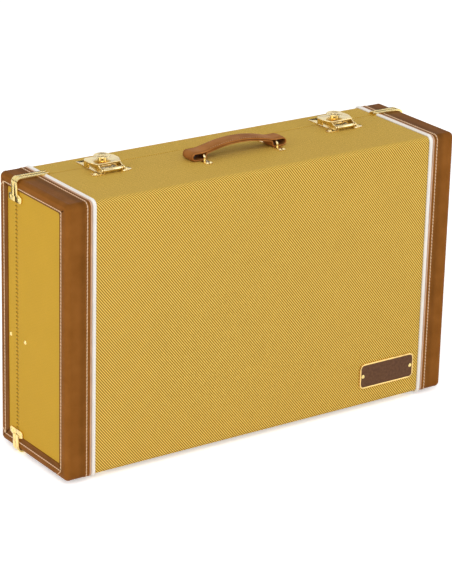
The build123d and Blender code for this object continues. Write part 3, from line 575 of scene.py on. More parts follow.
def end_band(shell, sign):
    """Leathercloth over one end. Across, the section turns from the hem to the end's edge, round it by a
    quarter circle, and along straight lines over the end face to the window. Folds gathered into the
    corners dip as cos^2(pi d / p) exp(-(d/w)^2), deepest halfway to the window."""
    size = SIZES[shell]
    along, place, outward, rim = section_rows(shell, 2 * MM, 36)
    hem_edge = size["end"] - size["band_edge"]
    setback = np.concatenate([
        [hem_edge], hem_edge - MM * np.array([0, 0.1, 0.3, 0.6, 1.0, 1.8, 3.0]),
        STITCH_SETBACK + MM * np.linspace(2.4, -3.6, 16), MM * np.array([24, 18, 12, 9.6, 8.4]),
    ])
    inset = hem_inset(setback, hem_edge) * np.clip((setback - END_EDGE) / (1.2 * MM), 0, 1)
    inset[0] = BAND_THICKNESS
    turn = np.linspace(0, math.pi / 2, 9)
    window_low = np.array([min(size["rim"], size["window_far"]), size["window_bottom"]]) + WINDOW_CORNER
    window_high = np.array([max(size["rim"], size["window_far"]), size["window_top"]]) - WINDOW_CORNER
    (window_low if shell == "lid" else window_high)[0] = size["rim"]
    window = np.clip(place, window_low, window_high) + WINDOW_CORNER * outward
    flat_start = place - END_EDGE * outward
    share = np.linspace(0, 1, 34)[1:]
    arcs = np.flatnonzero(np.abs(outward[:, 0] * outward[:, 1]) > 0.45)
    middles = [along[group].mean() for group in np.split(arcs, np.flatnonzero(np.diff(arcs) > 9) + 1)]
    off_mitre = np.min([np.abs(along - middle) for middle in middles], axis=0)
    mitre = 0.25 * MM * bell(off_mitre, 0.9 * MM)
    gathers = (0.5 + 0.5 * np.cos(math.tau * off_mitre / PLEAT_PITCH)) * bell(off_mitre, PLEAT_REACH)
    flat = flat_start[:, None] + (window - flat_start)[:, None] * share[None, :, None]
    lip = np.linalg.norm(window - flat_start, axis=1)[:, None] * (1 - share)
    off_stitches = window_distance(shell, flat)
    groove = bell(off_stitches, GROOVE_WIDTH)
    pleat = np.sin(np.pi * share[None] ** 0.8) ** 0.5 * gathers[:, None]

    def surface(thickness, eased, depth, crease, sunk):
        """All columns of one side of the leathercloth, from its depths below the crown."""
        hem_part = raised(sign * (size["end"] - setback), place, outward, -(depth + eased))
        radius = END_EDGE - thickness - (eased + crease)
        edge_x = sign * (size["end"] - END_EDGE + radius * np.sin(turn))
        edge_part = raised(edge_x, place, outward, -(END_EDGE - radius * np.cos(turn)))
        flat_x = np.broadcast_to(sign * (size["end"] - sunk), flat.shape[:2])
        flat_part = np.concatenate([flat_x[..., None], flat], -1)
        last = np.insert(window, 0, sign * (size["end"] - BAND_THICKNESS), axis=1)
        return np.concatenate([hem_part, edge_part, flat_part, last[:, None]], 1)

    eased = rim_drop(rim, BAND_EASE)[:, None]
    sunk = GROOVE_DEPTH * groove + PLEAT_DEPTH * pleat + rim_drop(lip, 0.9 * MM) + eased
    face = surface(0.0, eased, inset[None], mitre[:, None] * np.sin(turn), sunk)
    level = np.zeros((len(along), 1))
    under = surface(BAND_THICKNESS, level, np.full_like(setback, BAND_THICKNESS), 0.0, BAND_THICKNESS)
    hem, edge = len(setback), len(setback) + len(turn)
    # Painted shade and light in the tone: the stitched dip and the hem's edge, the grooves, the corner folds,
    # the strip inside the stitching and the window's edge are painted darker, and a painted highlight runs
    # along the rounded end edge
    tone = np.zeros(face.shape[:2])
    tone[:, :hem] = 0.75 * inset / GROOVE_DEPTH * (setback > 20 * MM)
    tone[:, 0] = 0.9
    tone[:, hem:edge] = -0.16 * np.sin(2 * turn)
    tone[:, edge:-1] = 0.5 * groove + 1.5 * pleat + 0.45 * np.clip(-off_stitches / MM, 0, 1)
    tone[:, -1] = 0.8
    # Painted shade: the band's upward-facing rows are darkened
    tone[:, :edge - 3] += 0.42 * np.clip(outward[:, 1:], 0, 1)
    tone = np.clip(tone, -1, 1)
    points = np.concatenate([under[:1], face, under[-1:]])
    tone = np.concatenate([tone[:1], tone, tone[-1:]])
    return patch(points, tone=tone, flip=(sign < 0) == (shell == "body"))


def piping_bead(shell, sign):
    """Vinyl piping: a flange that runs in under the band
    and a half-round bead, (a cos t, b sin(t)^0.85), on the cloth."""
    size = SIZES[shell]
    low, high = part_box(f"{shell}_left_piping")
    middle, half_width = size["end"] + (low.x + high.x) / 2, (high.x - low.x) / 2
    height = high.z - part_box(f"{shell}_tweed_cover")[1].z
    turn = np.linspace(0, math.pi, 13)
    flange = MM * np.array([(-3.0, 0.0), (-3.0, 0.55), (-1.6, 0.6), (-0.5, 0.5), (-0.1, 0.2)])
    bead = np.stack([middle + half_width * np.cos(turn), height * np.sin(turn) ** 0.85], 1)
    profile = np.concatenate([flange + (middle - half_width, 0), bead])
    # Painted shade: the flange and both feet of the bead are darkened
    tone = np.array([0.6, 0.5, 0.35, 0.6, 0.9, 0.8, 0.25] + [0.0] * 10 + [0.5])
    _, place, outward, rim = section_rows(shell, 5 * MM)
    lift = profile[None, :, 1] - size["cloth_inset"] - rim_drop(rim, BEAD_EASE)[:, None]
    rise = np.maximum(lift, -size["cloth_inset"])
    points = raised(sign * (size["end"] - profile[:, 0]), place, outward, rise)
    return patch(points, tone=tone, close_columns=True, caps=True, flip=(sign < 0) == (shell == "body"))


def band_welt(shell, sign):
    """Raw edge of the leathercloth, turned up against the piping: a low half-round, (a cos t, b sin t)."""
    size = SIZES[shell]
    _, place, outward, rim = section_rows(shell, 5 * MM)
    turn = np.linspace(math.pi, 0, 9)
    half_width, height, foot = 1.25 * MM, 0.55 * MM, 1.2 * MM
    across = np.concatenate([[-half_width], half_width * np.cos(turn), [half_width]])
    lift = np.concatenate([[-foot], height * np.sin(turn), [-foot]])
    rise = lift[None, :] - rim_drop(rim, BEAD_EASE)[:, None] * (lift > -MM)
    points = raised(sign * (size["band_edge"] + 0.3 * MM - across), place, outward, rise)
    return patch(points, close_columns=True, caps=True, flip=(sign < 0) != (shell == "body"))


# ---------------------------------------------------------------- stitching
def thread_row(place, heading, outward, length, width, height, slant):
    """Row of stitches: flattened balls, centre + T a cos p + B b sin p cos q + N c sin p sin q,
    turned by slant."""
    across = np.cross(outward, heading)
    turned = heading * math.cos(slant) + across * math.sin(slant)
    p = np.linspace(0, math.pi, 6)[:, None]
    q = np.linspace(0, math.tau, 7)[None, :-1]
    ball = np.stack(np.broadcast_arrays(
        length / 2 * np.cos(p), width / 2 * np.sin(p) * np.cos(q), height * np.sin(p) * np.sin(q),
    ), -1)
    frames = np.stack([turned, np.cross(outward, turned), outward], 1)
    points = (place[:, None, None] + np.einsum("pqk,nkx->npqx", ball, frames)).reshape(-1, 3)
    faces = grid_faces(*ball.shape[:2], close_columns=True)
    quads = faces[None] + p.size * q.size * np.arange(len(place))[:, None, None]
    return points, quads.reshape(-1, 4), np.zeros((len(points), 2)), np.zeros(len(points))


def shell_stitching(shell, settings):
    """Stitches along both bands' hems, round both end windows of a shell
    and along the folds in their corners."""
    size = SIZES[shell]
    far = size["face"] - size["out"] * size["stitch_far"]
    high, low = size["top"] - END_STITCH["top"], size["bottom"] + END_STITCH["bottom"]
    corners = [(size["rim"], high), (far, high), (far, low), (size["rim"], low)]
    folds = [((far, high), -1, 2), ((far, low), 1, 2)] if shell == "lid" else [((far, low), -1, 3)]
    pitch = settings.stitch_pitch
    stitch = (settings.stitch_length, settings.stitch_width, settings.stitch_height)
    rows = []
    for sign in (-1, 1):
        _, place, heading = spaced(section_line(shell), pitch)
        outward = section_normals(shell, heading)
        place = np.insert(place - outward * STITCH_DEPTH, 0, sign * (size["end"] - STITCH_SETBACK), axis=1)
        rows.append(thread_row(
            place, np.insert(heading, 0, 0, axis=1), np.insert(outward, 0, 0, axis=1), *stitch, sign * 0.12,
        ))
        _, place, heading = spaced(rounded_line(corners, (WINDOW_CORNER, WINDOW_CORNER)), pitch)
        place = np.insert(place, 0, sign * (size["end"] - STITCH_DEPTH), axis=1)
        outward = np.zeros_like(place) + (sign, 0, 0)
        rows.append(thread_row(place, np.insert(heading, 0, 0, axis=1), outward, *stitch, 0.12))
        for corner, rising, count in folds:
            away = np.array([[0, 1.0, rising]]) / math.sqrt(2)
            distance = 2 * MM + pitch * np.arange(count)[:, None]
            at = np.array([[sign * (size["end"] - 0.1 * MM), *corner]]) + away * distance
            rows.append(thread_row(at, away + 0 * at, outward[:1] + 0 * at, *stitch, 0))
    return rows


# ---------------------------------------------------------------- handle
# The middle of the handle's strap: (x, height above the cloth) in mm, from one tucked end to the other.
HANDLE_PATH = [
    (-49.0, 11.1), (-54.6, 9.9), (-56.4, 1.85), (-77.25, 1.85), (-77.25, 11.55), (-58.5, 11.55), (0.0, 24.4),
    (58.5, 11.55), (77.25, 11.55), (77.25, 1.85), (56.4, 1.85), (54.6, 9.9), (49.0, 11.1),
]
HANDLE_BENDS = (2.0, 3.0, 4.85, 4.85, 20.0, 180.0, 20.0, 4.85, 4.85, 3.0, 2.0)
LINER_PATH = [(-48.8, 11.15), (0.0, 21.84), (48.8, 11.15)]
LINER_BENDS = (177.5,)
HANDLE_STITCH = (2.7 * MM, 0.7 * MM, 0.35 * MM)
HANDLE_STITCH_PITCH = 3.6 * MM
HANDLE_STITCH_REACH = 49 * MM
HANDLE_ROW_INSET = 2.6 * MM
HANDLE_ROW_DIP = 0.3 * MM


def swept_strap(line, width, thickness, crown, centre_y, step=2.5 * MM):
    """Leather strap swept along a line in (x, z): a section rounded at its edges,
    (w/2 |cos t|^0.28, h/2 |sin t|^0.7), its grain side crowned and dipped along two stitched rows."""
    _, place, heading = refined(line, step)
    normal = np.stack([-heading[:, 1], heading[:, 0]], 1)
    turn = np.linspace(0, math.tau, 57)[:-1]
    across = width / 2 * np.sign(np.cos(turn)) * np.abs(np.cos(turn)) ** 0.28
    lift = thickness / 2 * np.sign(np.sin(turn)) * np.abs(np.sin(turn)) ** 0.7
    off_middle = np.abs(2 * across / width)
    grain = np.clip(np.sin(turn) * 3, 0, 1)
    dip = bell(np.abs(across) - width / 2 + HANDLE_ROW_INSET, 0.8 * MM)
    lift = lift + grain * (crown * (1 - off_middle**2) - HANDLE_ROW_DIP * dip)
    section = place[:, None] + normal[:, None] * lift[:, None]
    points = np.insert(section, 1, np.broadcast_to(centre_y + across, section.shape[:2]), axis=2)
    # Painted shade and light in the tone: darker in the stitched dips, a little on the grain side and much
    # all over the underside, and a painted highlight along the strap's edges
    shaded_underside = np.clip(-np.sin(turn) * 3, 0, 1) * (off_middle < 0.97)
    tone = np.clip(0.5 * dip * grain - 0.35 * off_middle**14 + 0.1 * grain + 0.9 * shaded_underside, -1, 1)
    return patch(points, tone=tone, close_columns=True, caps=True, flip=True)


def handle_line(corners, bends, base_z):
    """Rounded line of a handle layer, in metres, from its corners in millimetres above the cloth."""
    return rounded_line([(x * MM, base_z + z * MM) for x, z in corners], [bend * MM for bend in bends], 10)


def handle_stitching(line, centre_y, width, top_lift):
    """Two rows of thread along the arch, inside the strap's edges."""
    _, place, heading = spaced(line, HANDLE_STITCH_PITCH)
    on_arch = (np.abs(place[:, 0]) < HANDLE_STITCH_REACH) & (place[:, 1] > np.median(place[:, 1]) - 9 * MM)
    on_arch &= heading[:, 0] > 0.5
    place, heading = place[on_arch], heading[on_arch]
    normal = np.stack([-heading[:, 1], heading[:, 0]], 1)
    flat = (place + normal * top_lift, heading, normal)
    lifted, heading, normal = (np.insert(part, 1, 0, axis=1) for part in flat)
    rows = [(0, centre_y + side * (width / 2 - HANDLE_ROW_INSET), 0) for side in (-1, 1)]
    return [thread_row(lifted + row, heading, normal, *HANDLE_STITCH, 0.1) for row in rows]


# ---------------------------------------------------------------- badge
BADGE_CORNER = 7.5 * MM
BADGE_RIM = 2.3 * MM
BADGE_RIM_SECTION = [    # share of the rim's width and mm behind its crown, from the outer edge in
    (0.0, 0.5), (0.15, 0.15), (0.4, 0.0), (0.7, 0.1), (0.95, 0.45), (1.0, 1.2),
]


def rounded_loop(half_x, half_z, radius, steps=8):
    """Closed outline of a rounded rectangle about the origin: core corner + r (cos a, sin a)."""
    angle = np.linspace(0, math.pi / 2, steps + 1)
    angle = np.concatenate([angle + quarter * math.pi / 2 for quarter in range(4)])
    core = np.array([half_x - radius, half_z - radius])
    signs = np.repeat([(1, 1), (-1, 1), (-1, -1), (1, -1)], steps + 1, axis=0)
    return signs * core + radius * np.stack([np.cos(angle), np.sin(angle)], 1)


def badge_patches():
    """Name plate: enamelled field, drawn in ring by ring to its middle line, and half-round gilt rim."""
    low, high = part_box("badge_plate")
    half_x, half_z = (high.x - low.x) / 2, (high.z - low.z) / 2

    def ring(loop, y):
        """Points of an outline about the plate's centre, at y."""
        return np.insert(loop + ((low.x + high.x) / 2, (low.z + high.z) / 2), 1, y, axis=1)

    def loop(inset, radius=None):
        """Outline inset from the plate's edge."""
        corner = BADGE_CORNER - inset if radius is None else radius
        return rounded_loop(half_x - inset, half_z - inset, corner)

    middle = loop(1 * MM)
    middle[:, 1] = 0
    middle[:, 0] = np.clip(middle[:, 0], -(half_x - half_z), half_x - half_z)
    field = [ring(outline, low.y + 0.7 * MM) for outline in (loop(1 * MM), loop(6 * MM, 1.5 * MM), middle)]
    crest = [(share, low.y + behind * MM) for share, behind in BADGE_RIM_SECTION]
    section = [(0.0, high.y), *crest, (1.0, high.y)]
    rim = [ring(loop(share * BADGE_RIM), y) for share, y in section]
    rim = patch(np.stack(rim), close_rows=True, close_columns=True, flip=True)
    return patch(np.stack(field), close_columns=True, flip=True), rim


# ---------------------------------------------------------------- inside
def slab(node_name, step, relief, edge):
    """Pad against a board: a grid over its face whose height is relief(x, z), rounded down at its border by a
    quarter circle, with four sides and a flat back."""
    low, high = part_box(node_name)
    is_lid = node_name.startswith("lid")
    face, back = (low.y, high.y) if is_lid else (high.y, low.y)
    x = np.linspace(low.x, high.x, int((high.x - low.x) / step) + 1)[None, :]
    z = np.linspace(low.z, high.z, int((high.z - low.z) / step) + 1)[:, None]
    border = np.minimum(np.minimum(x - low.x, high.x - x), np.minimum(z - low.z, high.z - z))
    y = face + np.sign(back - face) * (relief(x, z) + rim_drop(border, edge))
    grid = np.stack(np.broadcast_arrays(x, y, z), -1)
    grid = np.pad(grid, ((1, 1), (1, 1), (0, 0)), mode="edge")
    grid[[0, -1], :, 1] = back
    grid[:, [0, -1], 1] = back
    corners = np.array([[(x, back, z) for x in (low.x, high.x)] for z in (low.z, high.z)])
    return [patch(grid, flip=is_lid), patch(corners, flip=not is_lid)]


def lining_ring(node_name, thickness=2 * MM, corner=5 * MM):
    """Plush glued round the inside of the walls, turned through the corners in small curves."""
    low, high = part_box(node_name)
    inner_x, bottom, top = high.x - thickness, low.z + thickness, high.z - thickness
    corners = [
        (0, bottom), (inner_x, bottom), (inner_x, top), (-inner_x, top), (-inner_x, bottom), (0, bottom),
    ]
    _, place, heading = refined(rounded_line(corners, (corner,) * 4, 6), 40 * MM)
    place, heading = place[:-1], heading[:-1]
    outward = np.stack([heading[:, 1], -heading[:, 0]], 1)
    outer = np.clip(place + 3 * thickness * outward, (low.x, low.z), (high.x, high.z))
    eased = place + outward * RIM_EASE
    columns = [
        (place, low.y + RIM_EASE), (place, high.y - RIM_EASE), (eased, high.y),
        (outer, high.y), (outer, low.y), (eased, low.y),
    ]
    points = np.stack([np.insert(at, 1, y, axis=1) for at, y in columns], 1)
    return patch(points, close_rows=True, close_columns=True)


def stay_tape(side, sign):
    """Tape stay, riveted flat at both ends and turned on edge between them, hanging in a folded loop:
    the width leans from along the wall to across it by a smooth step over 18 mm, past each riveted tab."""
    low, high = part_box(f"stay_tape_{side}")
    half_width = tab = 7 * MM
    half_thickness = 0.45 * MM
    wall_x = max(abs(low.x), abs(high.x))
    rivet_z = high.z - half_width
    body_y, lid_y = low.y + half_width, high.y - half_width
    fold = np.array([(body_y + lid_y) / 2, low.z + half_width])
    corners = [
        (body_y, rivet_z + tab), (body_y, rivet_z), fold - (1.5 * MM, 0),
        fold + (1.5 * MM, 0), (lid_y, rivet_z),
        (lid_y, rivet_z + tab),
    ]
    line = rounded_line(corners, (30 * MM, 1.4 * MM, 1.4 * MM, 30 * MM), 8)
    along, place, heading = refined(line, 2.5 * MM, tab * np.array([0.03, 0.12, 0.28, 0.5, 0.75]))
    from_end = np.minimum(along, along[-1] - along)
    share = np.clip((from_end - 2.2 * tab) / (18 * MM), 0, 1)
    lean = (share * share * (3 - 2 * share))[:, None] * math.pi / 2
    round_end = np.clip(1 - from_end / tab, 0, 1)
    width = (half_width * np.sqrt(1 - round_end**2))[:, None] + 0.2 * MM
    in_plane = np.stack([-heading[:, 1], heading[:, 0]], 1)
    across = np.array([-1.0, -1.0, 1.0, 1.0]) * width
    deep = np.array([-1.0, 1.0, 1.0, -1.0]) * half_thickness
    is_lid_half = (along > along[-1] / 2)[:, None]
    layer = wall_x - 0.5 * MM - is_lid_half * MM * np.cos(lean)
    centre_x = layer - np.sin(lean) * (half_width - 0.4 * MM)
    x = sign * (centre_x + across * np.sin(lean) + deep * np.cos(lean))
    points = raised(x, place, in_plane, across * np.cos(lean) - deep * np.sin(lean))
    uv = np.stack(np.broadcast_arrays(across, along[:, None]), -1)
    ends = [(sign * wall_x, y, rivet_z) for y in (body_y + tab, lid_y - tab)]
    return patch(points, uv, close_columns=True, caps=True, flip=sign < 0), ends


# ---------------------------------------------------------------- settings
def colour_setting(name, description, hex_colour):
    """Colour property whose default is an sRGB hex value."""
    return FloatVectorProperty(
        name=name, description=description, default=linear(hex_colour), size=4, min=0, max=1, subtype="COLOR",
    )


def length_setting(name, description, default):
    """Length property in metres."""
    return FloatProperty(
        name=name, description=description, default=default, min=0, unit="LENGTH", precision=4,
    )


def angle_setting(name, description, degrees):
    """Angle property from degrees."""
    return FloatProperty(name=name, description=description, default=math.radians(degrees), subtype="ANGLE")


class PedalCaseCloth(bpy.types.PropertyGroup):
    rib_pitch: length_setting("Rib pitch", "Distance across two neighbouring twill ribs", 2.87 * MM)
    thread_pitch: length_setting("Thread pitch", "Length of one thread step along a rib", 1.3 * MM)
    rib_angle: angle_setting("Rib angle", "Turn of the ribs from upright", -39.4)
    light_yarn: colour_setting("Light yarn", "Colour of the raised ribs", "FDD76C")
    dark_yarn: colour_setting("Dark yarn", "Colour of the yarn between the ribs", "9A6D0D")
    end_light: colour_setting("End, light yarn", "Colour of the end cloth's ribs", "DEAE39")
    end_dark: colour_setting("End, dark yarn", "Colour between the end cloth's ribs", "C99E31")


class PedalCaseTrim(bpy.types.PropertyGroup):
    band_light: colour_setting("Band, light", "Leathercloth where it is stretched", "9A6027")
    band_dark: colour_setting("Band, dark", "Leathercloth in its darker patches", "8D561F")
    thread: colour_setting("Thread", "Stitching thread", "F8D2A6")
    welt: colour_setting("Welt", "Raw edge of the leathercloth beside the piping", "D9AC8A")
    piping: colour_setting("Piping", "Vinyl bead", "FFFBF4")
    stitch_pitch: length_setting("Stitch pitch", "Distance from one stitch to the next", 4.8 * MM)
    stitch_length: length_setting("Stitch length", "Length of thread that shows", 5.0 * MM)
    stitch_width: length_setting("Stitch width", "Width of the thread", 1.7 * MM)
    stitch_height: length_setting("Stitch height", "How far the thread rises from its middle", 0.9 * MM)


class PedalCaseHardware(bpy.types.PropertyGroup):
    gold: colour_setting("Gold", "Gold plating", "F3DA90")
    latch_gold: colour_setting("Latch gold", "Plating of the latches, handle fittings and rivets", "F2DCA4")
    roughness: FloatProperty(
        name="Roughness", description="Roughness of the plating", default=0.15, min=0, max=1,
    )
    edge: length_setting("Edge", "Softening of pressed edges", 0.25 * MM)


class PedalCaseHandle(bpy.types.PropertyGroup):
    leather_light: colour_setting("Leather, light", "Grain side where it is worn", "BC7D43")
    leather_dark: colour_setting("Leather, dark", "Grain side where it is dark", "A06530")
    width: length_setting("Width", "Width of the strap", 25 * MM)
    thickness: length_setting("Thickness", "Thickness of one layer of the strap", 2.5 * MM)
    crown: length_setting("Crown", "How much the grain side bulges", 0.6 * MM)


class PedalCaseLining(bpy.types.PropertyGroup):
    plush: colour_setting("Plush", "Pile on the walls", "2A292B")
    carpet: colour_setting("Carpet", "Loop pile on the floor", "343335")
    foam: colour_setting("Foam", "Convoluted foam in the lid", "39383A")
    tape: colour_setting("Tape", "Lid stays", "3A3128")
    peak_pitch: length_setting("Peak pitch", "Distance between the foam's peaks", 25 * MM)
    peak_depth: length_setting("Peak depth", "Height of the foam's peaks", 9 * MM)


class PedalCaseStage(bpy.types.PropertyGroup):
    floor: colour_setting("Floor", "Floor and backdrop", "FFFFFF")
    lens: FloatProperty(
        name="Lens", description="Focal length on a 36 mm sensor", default=155.09, unit="CAMERA",
    )
    azimuth: angle_setting("Azimuth", "Camera's turn from the front", -35.0335)
    elevation: angle_setting("Elevation", "Camera's angle above the floor", 20.7517)
    roll: angle_setting("Roll", "Camera's turn about its own axis", 1.4575)
    position: FloatVectorProperty(
        name="Camera place", description="Where the camera stands", default=(-1.89677, -2.69559, 1.43708),
        subtype="TRANSLATION",
    )
    key_power: FloatProperty(
        name="Key lamp", description="Power of the main lamp", default=67.0, unit="POWER",
    )
    fill_power: FloatProperty(
        name="Fill lamp", description="Power of the side lamp", default=26.0, unit="POWER",
    )


SETTINGS = {
    "pedal_cloth": PedalCaseCloth,
    "pedal_trim": PedalCaseTrim,
    "pedal_hardware": PedalCaseHardware,
    "pedal_handle": PedalCaseHandle,
    "pedal_lining": PedalCaseLining,
    "pedal_stage": PedalCaseStage,
}


# ---------------------------------------------------------------- operators
def dress(names, material):
    """Gives CAD nodes a material."""
    for name in names:
        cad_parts[name].data.materials.clear()
        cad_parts[name].data.materials.append(material)


def soften(names, width, segments=2):
    """Merges the CAD nodes' loose triangles and rounds their hard edges."""
    for name in names:
        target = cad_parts[name]
        target.modifiers.new("weld", "WELD").merge_threshold = 0.01 * MM
        bevel = target.modifiers.new("edge", "BEVEL")
        bevel.width = width
        bevel.segments = segments
        bevel.limit_method = "ANGLE"
        bevel.angle_limit = math.radians(32)
        bevel.harden_normals = False
        target.data.shade_smooth()
        target.data.set_sharp_from_angle(angle=math.radians(50))


def named(stems, parts):
    """Names of every stem with every part."""
    return [f"{stem}_{part}" for stem in stems for part in parts]


class PEDALCASE_OT_cloth(bpy.types.Operator):
    """Cover both shells and their end windows with tweed"""

    bl_idname = "pedal_case.cloth"
    bl_label = "Tweed covers"

    def execute(self, context):
        settings = context.scene.pedal_cloth
        front = tweed_material(
            "Lacquered cotton tweed", settings, settings.light_yarn, settings.dark_yarn, 0.45,
        )
        plain = tweed_material(
            "Lacquered cotton tweed, ends", settings, settings.end_light, settings.end_dark, 0.2,
        )
        for shell in SHELLS:
            cover = [f"{shell}_tweed_cover"]
            piece(f"{shell}_tweed", [cloth_cover(shell)], front, shell, cover)
            piece(f"{shell}_rim_tweed", [rim_cloth(shell)], plain, shell)
            panels = [end_panel(shell, sign) for _, sign in SIDES]
            piece(f"{shell}_end_tweed", panels, plain, shell, [f"{shell}_end_panels"])
        return {"FINISHED"}


class PEDALCASE_OT_ends(bpy.types.Operator):
    """Bind both ends in stitched leathercloth and run the white piping"""

    bl_idname = "pedal_case.ends"
    bl_label = "Bands, piping and stitching"

    def execute(self, context):
        settings = context.scene.pedal_trim
        leathercloth = leathercloth_material("Embossed leathercloth", settings.band_light, settings.band_dark)
        vinyl = vinyl_material("Extruded vinyl piping", settings.piping, scaled(settings.piping, 0.97))
        raw_edge = vinyl_material("Raw leathercloth edge", settings.welt, scaled(settings.welt, 0.85))
        thread = thread_material("Bonded polyester thread", settings.thread, scaled(settings.thread, 0.8))
        for shell in SHELLS:
            for side, sign in SIDES:
                end = f"{shell}_{side}"
                band, bead = end_band(shell, sign), piping_bead(shell, sign)
                piece(f"{end}_band", [band], leathercloth, shell, [f"{end}_end_band"])
                piece(f"{end}_bead", [bead], vinyl, shell, [f"{end}_piping"])
            welts = [band_welt(shell, sign) for _, sign in SIDES]
            piece(f"{shell}_welts", welts, raw_edge, shell)
            piece(f"{shell}_stitching", shell_stitching(shell, settings), thread, shell)
        return {"FINISHED"}


class PEDALCASE_OT_handle(bpy.types.Operator):
    """Fold the leather handle through its two staples and sew it"""

    bl_idname = "pedal_case.handle"
    bl_label = "Handle"

    def execute(self, context):
        settings = context.scene.pedal_handle
        low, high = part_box("handle_strap")
        centre_y = (low.y + high.y) / 2
        base_z = low.z - (HANDLE_PATH[3][1] * MM - settings.thickness / 2)
        line = handle_line(HANDLE_PATH, HANDLE_BENDS, base_z)
        liner_line = handle_line(LINER_PATH, LINER_BENDS, base_z)
        leather = leathercloth_material(
            "Bridle leather, burnished", settings.leather_light, settings.leather_dark, 700.0,
        )
        strap = swept_strap(line, settings.width, settings.thickness, settings.crown, centre_y)
        liner = swept_strap(liner_line, settings.width, settings.thickness, 0.0, centre_y)
        piece("handle_leather", [strap, liner], leather, "handle", ["handle_strap"])
        thread = thread_material("Waxed linen thread", linear("D9A36A"), linear("B98048"))
        rows = handle_stitching(line, centre_y, settings.width, settings.thickness / 2 + HANDLE_ROW_DIP)
        piece("handle_stitching", rows, thread, "handle")
        return {"FINISHED"}


class PEDALCASE_OT_badge(bpy.types.Operator):
    """Make the blank name plate with its gilt rim"""

    bl_idname = "pedal_case.badge"
    bl_label = "Blank plate"

    def execute(self, context):
        field, rim = badge_patches()
        enamel = enamel_material("Baked brown enamel", linear("6B4930"), linear("5B3B26"))
        gilt = gilt_material("Gold-plated rim", linear("EBC981"), 0.28)
        piece("badge_field", [field], enamel, "body", ["badge_plate"])
        piece("badge_rim", [rim], gilt, "body", ["badge_plate"])
        dress(["badge_pins"], gilt_material("Gold-plated pin", context.scene.pedal_hardware.gold, 0.25))
        return {"FINISHED"}


class PEDALCASE_OT_hardware(bpy.types.Operator):
    """Gild the latches, straps, feet, hinges, staples and rivets"""

    bl_idname = "pedal_case.hardware"
    bl_label = "Gilt hardware"

    def execute(self, context):
        settings = context.scene.pedal_hardware
        gilt = gilt_material("Gold-plated pressed steel", settings.gold, settings.roughness)
        warm = gilt_material("Gold-plated latch steel", settings.latch_gold, settings.roughness, 0.06)
        steel = gilt_material("Drawn steel pin", linear("B9B9BC"), 0.3)
        shells = named(SHELLS, ("edge_straps", "end_rivets", "feet", "hinge_leaves", "hinge_screws"))
        fittings = [
            *named(("latch_left", "latch_right"), ("base", "catch", "hook", "lever", "lock_cylinder")),
            *named(("handle",), ("foot_plates", "rivets", "staple_left", "staple_right")),
            "catch_screws", "latch_rivets", "latch_rollers",
        ]
        dress(shells, gilt)
        dress(fittings, warm)
        dress(["hinge_pins"], steel)
        soften(shells + fittings + ["badge_pins"], settings.edge)
        return {"FINISHED"}


class PEDALCASE_OT_boards(bpy.types.Operator):
    """Grain the plywood boards and stain the valance"""

    bl_idname = "pedal_case.boards"
    bl_label = "Plywood"

    def execute(self, context):
        light, dark = linear("CDA878"), linear("A57C4E")
        flat = wood_material("Birch plywood, walls", light, dark, "Z")
        upright = wood_material("Birch plywood, ends", light, dark, "X")
        faces = wood_material("Birch plywood, faces", light, dark, "Y")
        dress(named(SHELLS, ("top_wall", "bottom_wall")), flat)
        dress(named(SHELLS, ("left_wall", "right_wall")), upright)
        dress(["body_front_board", "lid_back_board"], faces)
        dress(["body_valance"], wood_material("Stained beech", linear("4A3A2C"), linear("2E241B"), "Y"))
        return {"FINISHED"}


class PEDALCASE_OT_lining(bpy.types.Operator):
    """Line the case with carpet, plush and convoluted foam, and hang the lid stays"""

    bl_idname = "pedal_case.lining"
    bl_label = "Lining, foam and stays"

    def execute(self, context):
        settings = context.scene.pedal_lining
        pitch, depth = settings.peak_pitch, settings.peak_depth
        plush, carpet, foam = (
            pile_material(name, scaled(colour, lift), colour, tufts, height, sheen)
            for name, colour, lift, tufts, height, sheen in (
                ("Short plush pile", settings.plush, 1.5, 900.0, 0.5 * MM, 0.5),
                ("Loop pile carpet", settings.carpet, 1.9, 380.0, 1 * MM, 0.2),
                ("Open-cell foam", settings.foam, 1.6, 1400.0, 0.3 * MM, 0.1),
            )
        )
        tape = tape_material("Woven cotton tape", scaled(settings.tape, 1.7), settings.tape)
        low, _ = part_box("lid_foam_pad")

        def egg(x, z):
            """Convoluted foam: depth (1 - cos 2 pi x / p cos 2 pi z / p) / 2."""
            wave = np.cos(math.tau * (x - low.x) / pitch) * np.cos(math.tau * (z - low.z) / pitch)
            return depth * (1 - wave) / 2

        convoluted = slab("lid_foam_pad", 2.9 * MM, egg, 4 * MM)
        pad = piece("lid_foam", convoluted, foam, "lid", ["lid_foam_pad"])
        mat = slab("body_floor_carpet", 6 * MM, lambda x, z: 0.0, 1 * MM)
        piece("floor_carpet", mat, carpet, "body", ["body_floor_carpet"])
        for shell in SHELLS:
            walls = f"{shell}_wall_lining"
            piece(f"{shell}_lining", [lining_ring(walls)], plush, shell, [walls])
        for side, sign in SIDES:
            made, (start, end) = stay_tape(side, sign)
            strap = piece(f"stay_{side}", [made], tape, None, [f"stay_tape_{side}"])
            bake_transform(strap)
        return {"FINISHED"}


# ---------------------------------------------------------------- stage
GROUND_Z = 0.0
AIM = Vector((0, 0, 0.2))
CARDS = {                # place and size of what the gilt reflects, in metres
    "card_behind_camera": ((-2.4, -3.9, 1.2), (3.4, 3.4)),
    "card_right": ((3.8, -1.2, 0.9), (2.2, 2.2)),
    "card_left": ((-1.9, 1.5, 0.75), (2.2, 0.5)),
    "card_floor": ((-0.58, 1.05, 0.004), (0.62, 0.5)),
    "card_behind_low": ((1.6, 2.5, 0.62), (2.8, 0.45)),
    "card_behind_high": ((1.6, 2.5, 2.4), (2.8, 0.4)),
    "card_overhead": ((-0.4, -0.9, 2.4), (2.6, 0.5)),
}


